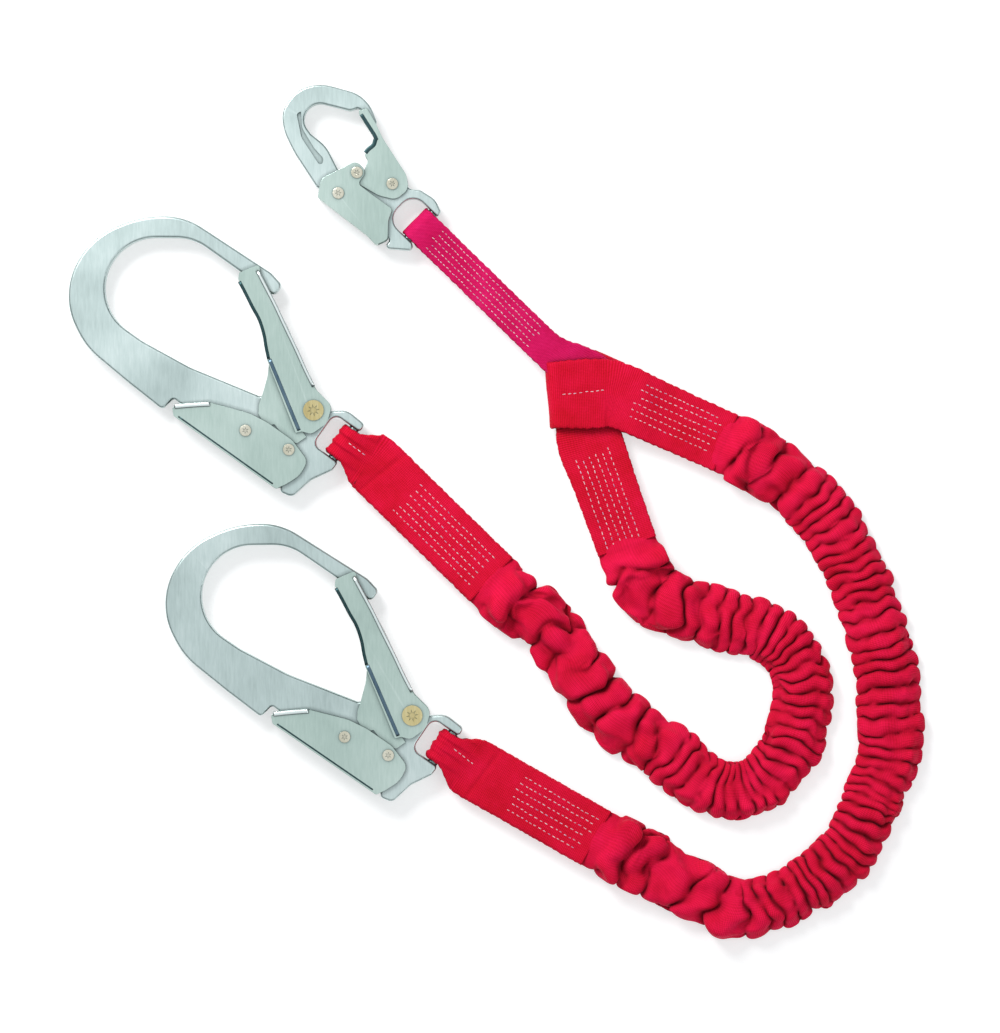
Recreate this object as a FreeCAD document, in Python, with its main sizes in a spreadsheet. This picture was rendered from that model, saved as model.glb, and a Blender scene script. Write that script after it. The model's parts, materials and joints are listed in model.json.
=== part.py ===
"""Twin-leg shock absorbing lanyard: one snap hook, a harness strap, two stretch legs and two rebar hooks.

The lanyard lies flat on z = 0, with +Z up. Lengths are in millimetres and angles in degrees.
A hook's own frame has its origin at the eye, +X towards its webbing, the crown at -X and the gate on +Y.
"""
import FreeCAD, Part
import Sketcher
import math
import os

Vector = FreeCAD.Vector
Z_AXIS = Vector(0, 0, 1)

doc = FreeCAD.newDocument("lanyard")

# ---------------------------------------------------------------- driving dimensions
DIMENSIONS = [
    ("plane_height", 10.35, "height of the plane that every hook and webbing end lies in"),
    ("play", 0.2, "clearance between neighbouring layers of a hook"),
    ("steel", 1.5, "thickness of the pressed steel gates and lock levers"),
    ("running_fit", 0.05, "radial clearance of a rivet in its hole"),
    ("head_thick", 0.9, "thickness of a rivet's head"),
    ("rebar_half", 6.0, "half the thickness of a rebar hook's body"),
    ("snap_half", 6.0, "half the thickness of the snap hook's body"),
    ("recess", 1.6, "depth of the groove in the snap hook's spine"),
    ("gate_shank", 4.0, "radius of a rebar hook's gate rivet"),
    ("gate_head", 7.5, "radius of that rivet's heads"),
    ("small_shank", 2.5, "radius of the lever rivets and catch pins"),
    ("small_head", 4.2, "radius of their heads"),
    ("snap_pin_shank", 2.0, "radius of the snap hook's lock pin"),
    ("wire", 1.4, "diameter of the torsion springs' wire"),
    ("coil_radius", 5.2, "radius of a torsion spring's coil on a large rivet"),
    ("small_coil_radius", 3.8, "radius of a torsion spring's coil on a small rivet"),
    ("bar_radius", 3.8, "radius of the round bar that a webbing loop hangs on"),
    ("bar_play", 0.3, "clearance between that bar and its webbing loop"),
    ("strap_half_width", 12.7, "half the width of the harness strap, a 1 in webbing"),
    ("strap_layer", 2.6, "thickness of one layer of the harness strap"),
    ("leg_half_width", 22.5, "half the flat width of the tubular leg webbing, about 1 3/4 in"),
    ("eye_half_width", 12.4, "half the width that a leg is squeezed to in a hook's eye"),
    ("leg_layer", 3.9, "thickness of one flattened layer of tubular leg webbing"),
    ("jacket_half_width", 21.0, "half the mean width of a gathered leg jacket"),
    ("jacket_half_height", 10.2, "half the mean height of a gathered leg jacket"),
    ("jacket_wall", 1.6, "mean wall of a gathered leg jacket"),
    ("core_half_width", 12.5, "half the width of the energy absorbing core strap"),
    ("core_half_thick", 1.5, "half the thickness of that core strap"),
]
sheet = doc.addObject("Spreadsheet::Sheet", "Dimensions")
for row, (alias, value, meaning) in enumerate(DIMENSIONS, 1):
    sheet.set(f"A{row}", meaning)
    sheet.set(f"B{row}", str(value))
    sheet.setAlias(f"B{row}", alias)
doc.recompute()


def size(alias):
    """A driving dimension as a number."""
    return float(sheet.get(alias))


def cell(alias):
    """A driving dimension as it stands in an expression."""
    return f"Dimensions.{alias}"


def layers(half):
    """Expressions for the inner and the outer steel layer beside a hook body of this half thickness."""
    inner_low = f"{cell(half)} + {cell('play')}"
    inner_high = f"{inner_low} + {cell('steel')}"
    outer_low = f"{inner_high} + {cell('play')}"
    outer_high = f"{outer_low} + {cell('steel')}"
    return inner_low, inner_high, outer_low, outer_high


# ---------------------------------------------------------------- places on the floor
# Each hook: the eye's x and y, and the turn of the hook's frame about +Z.
SNAP_AT = (8.3, 188.4, -53.5)
REBAR_AT = [(-45.6, 25.4, -35.5), (27.2, -198.0, -34.5)]
REBAR_BAR = 3.8
SNAP_BAR = 8.0
SNAP_BAR_TURN = 9.2

# The legs' routes along their gathered stretch, from the strap's junction to the hook.
LEG_ROUTES = [
    [
        (166, -53), (173, -74), (186, -90), (206, -100), (228, -105), (252, -109), (274, -114),
        (290, -127), (298, -144), (299, -164), (295, -183), (288, -203), (275, -223), (256, -237),
        (237, -237), (220, -229), (206, -215), (194, -200), (175, -191), (158, -180), (144, -166),
        (133, -150), (123, -133), (112, -116), (99, -102), (82, -91), (66, -77),
    ],
    [
        (237, 24), (256, 15), (276, 4), (294, -9), (310, -26), (324, -46), (334, -66),
        (342, -89), (349, -112), (356, -136), (359, -161), (361, -184), (362, -205), (356, -225),
        (345, -244), (339, -265), (327, -284), (309, -299), (290, -310), (269, -321), (249, -325),
        (231, -317), (213, -305), (195, -292), (177, -284), (160, -276), (143, -267),
    ],
]


def on_floor(x, y, turn=0.0):
    """A placement in the hooks' common plane."""
    return FreeCAD.Placement(Vector(x, y, size("plane_height")), FreeCAD.Rotation(Z_AXIS, turn))


SNAP_FRAME = on_floor(*SNAP_AT)
REBAR_FRAMES = [on_floor(*at) for at in REBAR_AT]
SNAP_BAR_POINT = (
    SNAP_BAR * math.cos(math.radians(SNAP_BAR_TURN)),
    SNAP_BAR * math.sin(math.radians(SNAP_BAR_TURN)),
)
STRAP_FRAME = SNAP_FRAME.multiply(
    FreeCAD.Placement(Vector(*SNAP_BAR_POINT, 0), FreeCAD.Rotation(Z_AXIS, SNAP_BAR_TURN))
)


# ---------------------------------------------------------------- outlines
def outline_edges(points):
    """Lines and tangent arcs of a closed outline. Each point is (x, y) or (x, y, corner radius)."""
    corners = []
    count = len(points)
    for index, point in enumerate(points):
        here = Vector(point[0], point[1], 0)
        radius = point[2] if len(point) > 2 else 0
        before = Vector(*points[index - 1][:2], 0) - here
        after = Vector(*points[(index + 1) % count][:2], 0) - here
        if not radius:
            corners.append((here, here, None))
            continue
        turn = math.pi - before.getAngle(after)
        reach = radius * math.tan(turn / 2)
        start = here + before.normalize() * reach
        end = here + after.normalize() * reach
        middle = (before + after).normalize()
        centre = here + middle * math.hypot(radius, reach)
        corners.append((start, end, (centre, radius)))
    edges = []
    for index, (start, end, round_corner) in enumerate(corners):
        if round_corner:
            centre, radius = round_corner
            left_turn = (start - centre).cross(end - centre).z > 0
            first, last = (start, end) if left_turn else (end, start)
            circle = Part.Circle(centre, Z_AXIS, radius)
            edges.append(Part.ArcOfCircle(circle, bearing(centre, first), bearing(centre, last)))
        following = corners[(index + 1) % count][0]
        if end.distanceToPoint(following) > 1e-4:
            edges.append(Part.LineSegment(end, following))
    return edges


def bearing(centre, point):
    """The direction from a centre to a point, in radians."""
    return math.atan2(point.y - centre.y, point.x - centre.x)


def turned(points, degrees, shift=(0, 0)):
    """An outline's points turned about the origin, then shifted."""
    cosine, sine = math.cos(math.radians(degrees)), math.sin(math.radians(degrees))
    return [
        (shift[0] + p[0] * cosine - p[1] * sine, shift[1] + p[0] * sine + p[1] * cosine, *p[2:])
        for p in points
    ]


def teardrop(radius, reach, end_half):
    """Outline of a loop round the origin that narrows to end_half on each side at x = reach."""
    far = math.hypot(reach, end_half)
    slope = math.atan2(end_half, reach) - math.asin(radius / far)
    height = end_half - (reach + radius) * math.tan(slope)
    tip = [(reach, -end_half), (reach, end_half)] if end_half else [(reach, 0)]
    return [(-radius, height, radius), (-radius, -height, radius)] + tip


def bowl_corners(x, y, radius, slope, top):
    """Corners of a hook's round bowl: its floor, its back, and a sloping stretch up to the top."""
    back = x - radius
    reach = radius * math.tan(math.radians(90 - slope) / 2)
    run = (top - y - reach) / math.tan(math.radians(slope))
    return [(back, y - radius, radius), (back, y + reach, radius), (back + run, top, radius)]


def star(points, outer, inner):
    """Outline of a star about the origin."""
    step = math.pi / points
    radii = [outer, inner] * points
    return [(r * math.cos(i * step), r * math.sin(i * step)) for i, r in enumerate(radii)]


# ---------------------------------------------------------------- features
CUTS = []


def new_body(label, placement):
    body = doc.addObject("PartDesign::Body", label)
    body.Label = label
    body.Placement = placement
    return body


def sketch_on(body, name, low, role="XY_Plane"):
    """A sketch parallel to one of the body's own origin planes, at the height that low gives."""
    plane = next(p for p in body.Origin.OriginFeatures if p.Role == role)
    sketch = body.newObject("Sketcher::SketchObject", name)
    sketch.AttachmentSupport = [(plane, "")]
    sketch.MapMode = "FlatFace"
    sketch.setExpression("AttachmentOffset.Base.z", low)
    return sketch


def feature(body, kind, name, sketch, low, high):
    made = body.newObject(f"PartDesign::{kind}", name)
    made.Profile = sketch
    made.setExpression("Length", f"({high}) - ({low})")
    if kind == "Pocket":
        made.Reversed = True
        CUTS.append(made)
    return made


def shaped(body, kind, name, outlines, low, high, role="XY_Plane"):
    """A pad or a pocket of closed outlines between two heights given as expressions."""
    sketch = sketch_on(body, f"{name}_sketch", low, role)
    for points in outlines:
        sketch.addGeometry(outline_edges(points), False)
    return feature(body, kind, name, sketch, low, high)


def round_shape(body, kind, name, centre, radius, low, high):
    """A round pad or pocket whose radius is an expression."""
    sketch = sketch_on(body, f"{name}_sketch", low)
    sketch.addGeometry(Part.Circle(Vector(*centre, 0), Z_AXIS, 1.0), False)
    index = sketch.addConstraint(Sketcher.Constraint("Radius", 0, 1.0))
    sketch.renameConstraint(index, "radius")
    sketch.setExpression("Constraints.radius", radius)
    return feature(body, kind, name, sketch, low, high)


def both_faces(expression):
    return f"-({expression})", expression


def rivet(label, frame, centre, shank, head, under, points=6):
    """A rivet through the whole hook: a shank, two heads under which the layers lie, and a starred dimple."""
    place = frame.multiply(FreeCAD.Placement(Vector(*centre, 0), FreeCAD.Rotation()))
    body = new_body(label, place)
    clear = f"{under} + {cell('running_fit')}"
    top = f"{clear} + {cell('head_thick')}"
    round_shape(body, "Pad", "shank", (0, 0), shank, *both_faces(clear))
    round_shape(body, "Pad", "upper_head", (0, 0), head, clear, top)
    round_shape(body, "Pad", "lower_head", (0, 0), head, f"-({top})", f"-({clear})")
    head_radius = size(head.split(".")[1])
    dimple = star(points, 0.62 * head_radius, 0.27 * head_radius)
    shaped(body, "Pocket", "dimple", [dimple], f"{top} - {cell('head_thick')} * 0.5", top)
    return body


def torsion_spring(label, frame, centre, radius, height, tail=6.0, turn=335.0, start=0.0):
    """A flat torsion spring round a rivet: an almost closed coil with a straight tail."""
    place = frame.multiply(
        FreeCAD.Placement(Vector(*centre, height), FreeCAD.Rotation(Z_AXIS, start))
    )
    body = new_body(label, place)
    coil = size(radius.split(".")[1])
    path = sketch_on(body, "path", "0")
    path.addGeometry(Part.LineSegment(Vector(coil, -tail, 0), Vector(coil, 0, 0)), False)
    circle = Part.Circle(Vector(0, 0, 0), Z_AXIS, coil)
    path.addGeometry(Part.ArcOfCircle(circle, 0, math.radians(turn)), False)
    section = sketch_on(body, "section", str(tail), "XZ_Plane")
    section.addGeometry(Part.Circle(Vector(coil, 0, 0), Z_AXIS, size("wire") / 2), False)
    pipe = body.newObject("PartDesign::AdditivePipe", "coil")
    pipe.Profile = section
    pipe.Spine = (path, ["Edge1", "Edge2"])
    return body


def washer(label, frame, centre, shank, outer, low, high):
    """A spacing washer on a rivet."""
    place = frame.multiply(FreeCAD.Placement(Vector(*centre, 0), FreeCAD.Rotation()))
    body = new_body(label, place)
    round_shape(body, "Pad", "disc", (0, 0), outer, low, high)
    round_shape(body, "Pocket", "bore", (0, 0), f"{shank} + {cell('running_fit')}", low, high)
    return body


REBAR_BAR_HALF, SNAP_BAR_HALF = 16.5, 16.0    # half lengths of the bars that the webbing hangs on


def webbing_bar(body, centre, turn, half_length):
    """The round bar across a hook's eye that its webbing loop hangs on."""
    plane = next(p for p in body.Origin.OriginFeatures if p.Role == "XY_Plane")
    bar = body.newObject("PartDesign::AdditiveCylinder", "webbing_bar")
    bar.AttachmentSupport = [(plane, "")]
    bar.MapMode = "FlatFace"
    across = FreeCAD.Rotation(Z_AXIS, turn).multiply(FreeCAD.Rotation(Vector(1, 0, 0), -90))
    start = Vector(*centre, 0) + across.multVec(Vector(0, 0, -half_length))
    bar.AttachmentOffset = FreeCAD.Placement(start, across)
    bar.Height = 2 * half_length
    bar.setExpression("Radius", cell("bar_radius"))
    return bar


def rounded_faces(body, radius):
    """Rounds every edge of the two flat faces of the body's last feature."""
    doc.recompute()
    tip = body.Tip
    flat = [
        f"Face{index}"
        for index, face in enumerate(tip.Shape.Faces, 1)
        if isinstance(face.Surface, Part.Plane) and abs(face.normalAt(0, 0).z) > 0.99
    ]
    fillet = body.newObject("PartDesign::Fillet", "rounded_edges")
    fillet.Base = (tip, flat)
    fillet.Radius = radius
    return fillet


# ---------------------------------------------------------------- rebar hook
REBAR_GATE_PIVOT = (-28, 7)
REBAR_LEVER_PIVOT = (-60, -34)
REBAR_CATCH = (-26, -27)
REBAR_BODY = [
    (-100, 58.6, 4.2), (-100, 68.4, 4.2), (-112, 71, 12), (-189.2, 68, 50), (-215, 47.5, 78),
    (-229.6, 23.6, 54), (-233.5, 4.6, 58), (-230.8, -17.7, 50), (-217, -38.5, 50), (-191, -52.4, 60),
    (-150, -55.5, 60), (-119, -57, 3), (-117, -45.5, 2.5),
    (-60, -48.9, 60), (-18, -49.5, 2.5), (-13, -56, 3), (-4, -54, 5), (0, -36, 12),
    (8.6, -21, 4), (8.6, -13.6, 2.5), (-14, -13.6, 6), (-14, 13.6, 6), (8.6, 13.6, 2.5),
    (8.6, 20.5, 3), (-8, 21.5, 12), (-18, 13.5, 6), (-38, 16.5, 8), (-59, 3, 8), (-66, -7.5, 3),
    (-90, -13, 60), (-120, -20, 60), (-160, -24.7, 50),
] + bowl_corners(-174.3, 12.6, 37.3, 35, 58.6)
REBAR_SLOT = [(-29.2, -23.8, 3), (-22.6, -23.8, 3), (-22.0, -35.2, 3), (-28.9, -35.2, 3)]
REBAR_GATE_STRIP = [
    (-131, 57.5, 1), (-122.5, 71, 2), (-118, 66, 3), (-80, 46, 80), (-36, 20.5, 10),
    (-19, 17.5, 8), (-14.5, 5, 8), (-19, -8, 6), (-28.5, -11.5, 1), (-76, 18.5, 1),
    (-90, 33, 20), (-100, 39), (-120, 49), (-128.5, 53, 2),
]
REBAR_GATE_CHANNEL = [
    (-134, 58.0), (-128.9, 57.6), (-127.2, 54.7), (-119.3, 50.6), (-99.3, 40.6), (-89, 34.5),
    (-74.6, 19.6), (-60, -30), (0, -30), (0, 90), (-134, 90),
]
REBAR_GATE_STEP = [(-77.5, 17.5), (-74.5, 21.5), (-25, -9.5), (-29, -14)]
REBAR_GATE_CHEEK = [
    (-76, 18.5), (-70, 8, 20), (-65, -6, 20), (-63, -13, 8), (-59.5, -18.5, 2), (-54, -21, 2),
    (-48.5, -21.5, 1), (-45.5, -17.8, 1), (-38, -20.3, 2), (-30, -21.3, 2), (-24, -20, 2),
    (-21, -12), (-27, -10),
]
REBAR_GATE_INSIDE = [(-72.5, 20), (-74, 12), (-68, -30), (0, -30), (0, 30), (-72, 30)]
REBAR_LEVER = [
    (-114, -51, 2), (-92, -32, 4), (-65, -22, 30), (-50, -19.8, 30), (-28, -19.8, 14),
    (-10, -25.5, 7), (-8.3, -38, 20), (-13, -49, 3), (-17, -56, 2), (-109, -56, 2),
]
REBAR_LEVER_INSIDE = [(-125, -54.3), (0, -54.3), (0, 0), (-125, 0)]


def rebar_hook(number, frame):
    """One large hook: forged body, gate, lock lever, their rivets and springs."""
    prefix = f"rebar_hook_{number}"
    inner_low, inner_high, outer_low, outer_high = layers("rebar_half")
    half, running = cell("rebar_half"), cell("running_fit")

    body = new_body(f"{prefix}_body", frame)
    shaped(body, "Pad", "plate", [REBAR_BODY], *both_faces(half))
    rounded_faces(body, 1.8)
    webbing_bar(body, (REBAR_BAR, 0), 0, REBAR_BAR_HALF)
    gate_hole = f"{cell('gate_shank')} + {running}"
    small_hole = f"{cell('small_shank')} + {running}"
    round_shape(body, "Pocket", "gate_hole", REBAR_GATE_PIVOT, gate_hole, *both_faces(half))
    round_shape(body, "Pocket", "lever_hole", REBAR_LEVER_PIVOT, small_hole, *both_faces(half))
    shaped(body, "Pocket", "catch_slot", [REBAR_SLOT], *both_faces(half))

    gate = new_body(f"{prefix}_gate", frame)
    shaped(gate, "Pad", "strip", [REBAR_GATE_STRIP], *both_faces(outer_high))
    shaped(gate, "Pocket", "channel", [REBAR_GATE_CHANNEL], *both_faces(outer_low))
    shaped(gate, "Pad", "step", [REBAR_GATE_STEP], *both_faces(outer_high))
    shaped(gate, "Pad", "cheeks", [REBAR_GATE_CHEEK], *both_faces(inner_high))
    shaped(gate, "Pocket", "inside", [REBAR_GATE_INSIDE], *both_faces(inner_low))
    round_shape(gate, "Pocket", "gate_hole", REBAR_GATE_PIVOT, gate_hole, *both_faces(outer_high))

    lever = new_body(f"{prefix}_lock_lever", frame)
    shaped(lever, "Pad", "lever", [REBAR_LEVER], *both_faces(outer_high))
    shaped(lever, "Pocket", "channel", [REBAR_LEVER_INSIDE], *both_faces(outer_low))
    for name, centre in [("pivot_hole", REBAR_LEVER_PIVOT), ("catch_hole", REBAR_CATCH)]:
        round_shape(lever, "Pocket", name, centre, small_hole, *both_faces(outer_high))

    shank, head = cell("small_shank"), cell("small_head")
    rivet(f"{prefix}_gate_rivet", frame, REBAR_GATE_PIVOT, cell("gate_shank"), cell("gate_head"),
          outer_high, 8)
    rivet(f"{prefix}_lever_rivet", frame, REBAR_LEVER_PIVOT, shank, head, outer_high)
    rivet(f"{prefix}_catch_pin", frame, REBAR_CATCH, shank, head, outer_high)
    gap_middle = size("rebar_half") + size("play") + size("steel") / 2
    torsion_spring(f"{prefix}_gate_spring", frame, REBAR_GATE_PIVOT, cell("coil_radius"),
                   gap_middle, start=60)
    torsion_spring(f"{prefix}_lever_spring", frame, REBAR_LEVER_PIVOT, cell("small_coil_radius"),
                   gap_middle, start=200)
    low, high = f"-({outer_low}) + {running}", f"-({half}) - {running}"
    washer(f"{prefix}_gate_washer", frame, REBAR_GATE_PIVOT, cell("gate_shank"),
           f"{cell('gate_shank')} + 3", low, high)
    washer(f"{prefix}_lever_washer", frame, REBAR_LEVER_PIVOT, shank, f"{shank} + 3", low, high)


# ---------------------------------------------------------------- snap hook
SNAP_GATE_PIVOT = (-29, 3)
SNAP_LEVER_PIVOT = (-47, -33)
SNAP_PIN = (-51, -13)
SNAP_FORK = turned([(12.5, -13.4, 1.6), (-13, -13.4, 11), (-13, 13.4, 11), (12.5, 13.4, 1.6)], SNAP_BAR_TURN)
SNAP_BODY = [
    (-71.5, 15.5, 2.5), (-71.5, 20.8, 2.5), (-85, 24.3, 25), (-97, 22.5, 25), (-120, 4.5, 32),
    (-126.5, -13, 25), (-120, -31.5, 20), (-106, -38.5, 40), (-90, -41.3, 40), (-60, -43, 2.5),
    (-56, -40.8, 2), (-25, -33.8, 20), (-4, -24.2, 2), (3.2, -23, 2), (4.6, -31, 2.5), (19.5, -13.8, 3),
] + SNAP_FORK + [
    (8.3, 19.6, 1.6), (-1, 21.6, 12), (-13, 17, 6), (-19, 10.5, 4), (-29, 13.5, 5), (-38, 8, 5),
    (-42, -8, 8), (-46, -20, 6), (-60, -23, 10), (-80, -19.6, 25), (-94, -23.3, 8),
    (-110.1, -23.3, 11.8), (-110.1, -5.9, 11.8), (-90.5, 10.1, 5), (-88.6, 16.6, 3),
]
SNAP_RECESS = [
    (-112, -19, 0.8), (-101, -26, 10), (-84, -27.5, 10), (-74, -26.5, 3), (-69, -32, 2),
    (-96, -30.5, 10), (-112, -23, 2),
]
SNAP_GATE = [
    (-87, 15.2, 1), (-84.3, 21, 1.5), (-72, 19.6, 10), (-60, 17.2, 20), (-28, 15.2, 12),
    (-18.5, 10, 8), (-18.2, -2, 8), (-28, -10.2, 20), (-43.5, -17, 1.5), (-45.5, -15, 1),
    (-48.2, -9.5, 3), (-53.2, -1.2, 3), (-58.5, -0.8, 1.5), (-58.5, 10, 2), (-62, 12.2, 2), (-84, 13.5, 2),
]
SNAP_GATE_CHANNEL = [
    (-90, 15.2), (-84, 15.2), (-62, 13.9), (-57, 12.4), (-57, -30), (-10, -30), (-10, 40), (-90, 40),
]
SNAP_LEVER = [
    (-60, -20, 4), (-58.5, -8.5, 6), (-47.5, -6.5, 5.5), (-44, -17.3, 3), (-28, -12.6, 10),
    (-14, -8, 3), (-9, -15.5, 10), (1.8, -24, 4), (0, -33.4, 2), (-10, -34.6, 4), (-53.5, -47, 2),
    (-63, -37, 8),
]
SNAP_LEVER_INSIDE = [
    (-70, -44.5), (-53.2, -45.2), (-10, -33), (0, -31.6), (10, -31.6), (10, 10), (-70, 10),
]


def snap_hook(frame):
    """The small hook: forged body, gate, lock lever, their rivets and springs."""
    inner_low, inner_high, outer_low, outer_high = layers("snap_half")
    half, running = cell("snap_half"), cell("running_fit")
    small_hole = f"{cell('small_shank')} + {running}"

    body = new_body("snap_hook_body", frame)
    shaped(body, "Pad", "plate", [SNAP_BODY], *both_faces(half))
    rounded_faces(body, 1.5)
    for side, low, high in [
        ("upper", f"{half} - {cell('recess')}", half),
        ("lower", f"-({half})", f"-({half}) + {cell('recess')}"),
    ]:
        shaped(body, "Pocket", f"{side}_recess", [SNAP_RECESS], low, high)
    webbing_bar(body, SNAP_BAR_POINT, SNAP_BAR_TURN, SNAP_BAR_HALF)
    round_shape(body, "Pocket", "gate_hole", SNAP_GATE_PIVOT, small_hole, *both_faces(half))
    round_shape(body, "Pocket", "lever_hole", SNAP_LEVER_PIVOT, small_hole, *both_faces(half))
    seat = f"{cell('small_coil_radius')} + {cell('wire')}"
    seat_floor = f"{half} - {cell('wire')} - {cell('play')} * 1.5"
    round_shape(body, "Pocket", "spring_seat", SNAP_GATE_PIVOT, seat, seat_floor, half)

    gate = new_body("snap_hook_gate", frame)
    shaped(gate, "Pad", "gate", [SNAP_GATE], *both_faces(inner_high))
    shaped(gate, "Pocket", "channel", [SNAP_GATE_CHANNEL], *both_faces(inner_low))
    round_shape(gate, "Pocket", "gate_hole", SNAP_GATE_PIVOT, small_hole, *both_faces(inner_high))

    lever = new_body("snap_hook_lock_lever", frame)
    shaped(lever, "Pad", "lever", [SNAP_LEVER], *both_faces(outer_high))
    shaped(lever, "Pocket", "channel", [SNAP_LEVER_INSIDE], *both_faces(outer_low))
    pin_hole = f"{cell('snap_pin_shank')} + {running}"
    round_shape(lever, "Pocket", "pivot_hole", SNAP_LEVER_PIVOT, small_hole, *both_faces(outer_high))
    round_shape(lever, "Pocket", "pin_hole", SNAP_PIN, pin_hole, *both_faces(outer_high))

    shank, head = cell("small_shank"), cell("small_head")
    rivet("snap_hook_gate_rivet", frame, SNAP_GATE_PIVOT, shank, head, inner_high)
    rivet("snap_hook_lever_rivet", frame, SNAP_LEVER_PIVOT, shank, head, outer_high)
    rivet("snap_hook_lock_pin", frame, SNAP_PIN, cell("snap_pin_shank"), head, outer_high)
    seat_middle = size("snap_half") - size("wire") / 2 - 0.1
    gap_middle = size("snap_half") + size("play") + size("steel") / 2
    torsion_spring("snap_hook_gate_spring", frame, SNAP_GATE_PIVOT, cell("small_coil_radius"),
                   seat_middle, tail=1.0)
    torsion_spring("snap_hook_lever_spring", frame, SNAP_LEVER_PIVOT, cell("small_coil_radius"),
                   gap_middle, start=100)


# ---------------------------------------------------------------- webbing
# The gap left between a band's end and the gathered jacket that it is sewn to.
SEAM_GAP = 0.6
# Heights of the webbing layers above the floor where the strap and the legs are looped together:
# leg 2 is outermost, leg 1's lower layer is under the strap's, and its upper one is in the strap's loop.
STRAP_STACK = (5.6, 8.2, 11.0, 13.6)
YOKE_1_STACK = (3.0, 5.4, 8.4, 10.8)
YOKE_2_STACK = (0.4, 2.8, 13.8, 16.2)


def harness_strap():
    """The strap from the snap hook to the legs: sewn double, with an open loop at each end."""
    half = size("strap_layer") + 0.1
    bar = size("bar_radius") + size("bar_play")
    outer = teardrop(bar + size("strap_layer"), 32, half)
    cavity = teardrop(bar, 27, 0)
    bottom, floor, ceiling, top = [height - size("plane_height") for height in STRAP_STACK]
    middle = (floor + ceiling) / 2
    end, end_radius, wall = 192.6, 3.9, size("strap_layer")
    side = outer[:3] + [
        (132, middle - half, 20), (146, bottom, 20), (end, bottom, end_radius),
        (end, top, end_radius), (146, top, 20), (132, middle + half, 20),
    ] + outer[3:]
    leg_opening = [
        (140, middle), (149, floor, 5), (end - wall, floor, 1.3), (end - wall, ceiling, 1.3),
        (149, ceiling, 5),
    ]
    body = new_body("harness_strap", STRAP_FRAME)
    width = cell("strap_half_width")
    shaped(body, "Pad", "strap", [side, cavity, leg_opening], *both_faces(width), role="XZ_Plane")


def between(start, end):
    """The length and the direction in degrees from one plan point to another."""
    return math.dist(start, end), math.degrees(math.atan2(end[1] - start[1], end[0] - start[0]))


def hook_loop(number, hook_frame, route):
    """A leg's sewn end at its hook: the loop round the bar and the flat stitched length."""
    frame = hook_frame.multiply(FreeCAD.Placement(Vector(REBAR_BAR, 0, 0), FreeCAD.Rotation()))
    end, before = Vector(*route[-1], 0), Vector(*route[-2], 0)
    along = (before - end).normalize()
    across = Vector(-along.y, along.x, 0) * size("leg_half_width")
    to_local = frame.inverse()
    right, left = to_local.multVec(end - across), to_local.multVec(end + across)
    reach = right.x + left.x
    half = size("leg_layer")
    bar = size("bar_radius") + size("bar_play")
    outer = teardrop(bar + half, 33, half)
    outer[3:3] = [(reach, -half), (reach, half)]
    cavity = teardrop(bar, 30, 0)
    side = new_body(f"leg_{number}_loop_side", frame)
    shaped(side, "Pad", "side", [outer, cavity], *both_faces("2 * " + cell("leg_half_width")),
           role="XZ_Plane")
    plan = new_body(f"leg_{number}_loop_plan", frame)
    wide, narrow = size("leg_half_width"), size("eye_half_width")
    points = [
        (-12, -narrow, 2), (8.5, -narrow, 8), (20, -wide, 12), (right.x, right.y), (left.x, left.y),
        (20, wide, 12), (8.5, narrow, 8), (-12, narrow, 2),
    ]
    shaped(plan, "Pad", "plan", [points], *both_faces("2 * " + cell("leg_half_width")))
    loop = doc.addObject("Part::Common", f"leg_{number}_hook_loop")
    loop.Base, loop.Tool = side, plan
    loop.Label = f"leg_{number}_hook_loop"


def yoke_loop(number, outline, opening, stack, band_start, band_end, taper):
    """A leg's sewn end at the strap: a folded block with its opening, and the flat stitched length.

    The stack is the block's bottom, the opening's floor and ceiling, and the block's top. The flat
    length starts as thick as the block and reaches its own thickness at the taper, a share of its length.
    """
    label = f"leg_{number}_yoke_loop"
    bottom, floor, ceiling, top = stack
    block = new_body(f"{label}_block", FreeCAD.Placement())
    shaped(block, "Pad", "fold", [outline], str(bottom), str(top))
    shaped(block, "Pocket", "opening", [opening], str(floor), str(ceiling))
    length, direction = between(band_start, band_end)
    length -= SEAM_GAP
    band = new_body(f"{label}_band", on_floor(*band_start, direction))
    half, plane = size("leg_layer"), size("plane_height")
    side = [
        (0, bottom - plane), (taper * length, -half), (length, -half),
        (length, half), (taper * length, half), (0, top - plane),
    ]
    width = cell("leg_half_width")
    shaped(band, "Pad", "band", [side], *both_faces(width), role="XZ_Plane")
    loop = doc.addObject("Part::Fuse", label)
    loop.Base, loop.Tool = block, band
    loop.Label = label


YOKE_1_FOLD = [
    (144.4, 95.6, 3), (165.7, 78.0, 3), (158.3, 62.9, 3), (137.4, 41.5, 1), (143.5, 34.8), (115.0, 23.9),
    (114.2, 47.6, 10), (123.9, 70.6, 10),
]
YOKE_2_FOLD = [
    (106.9, 83.1, 4), (150.3, 85.2, 12), (179.9, 73.4), (160.9, 34.6, 1), (110.6, 33.0, 3),
]
YOKE_1_BAND, YOKE_2_BAND = (135.6, 33.2), (169.3, 54.2)
YOKE_2_OPENING = [(90, 98.7), (176.8, 98.7), (162.9, 17.6), (112.5, 17.6), (109.6, 66), (90, 70)]


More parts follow.
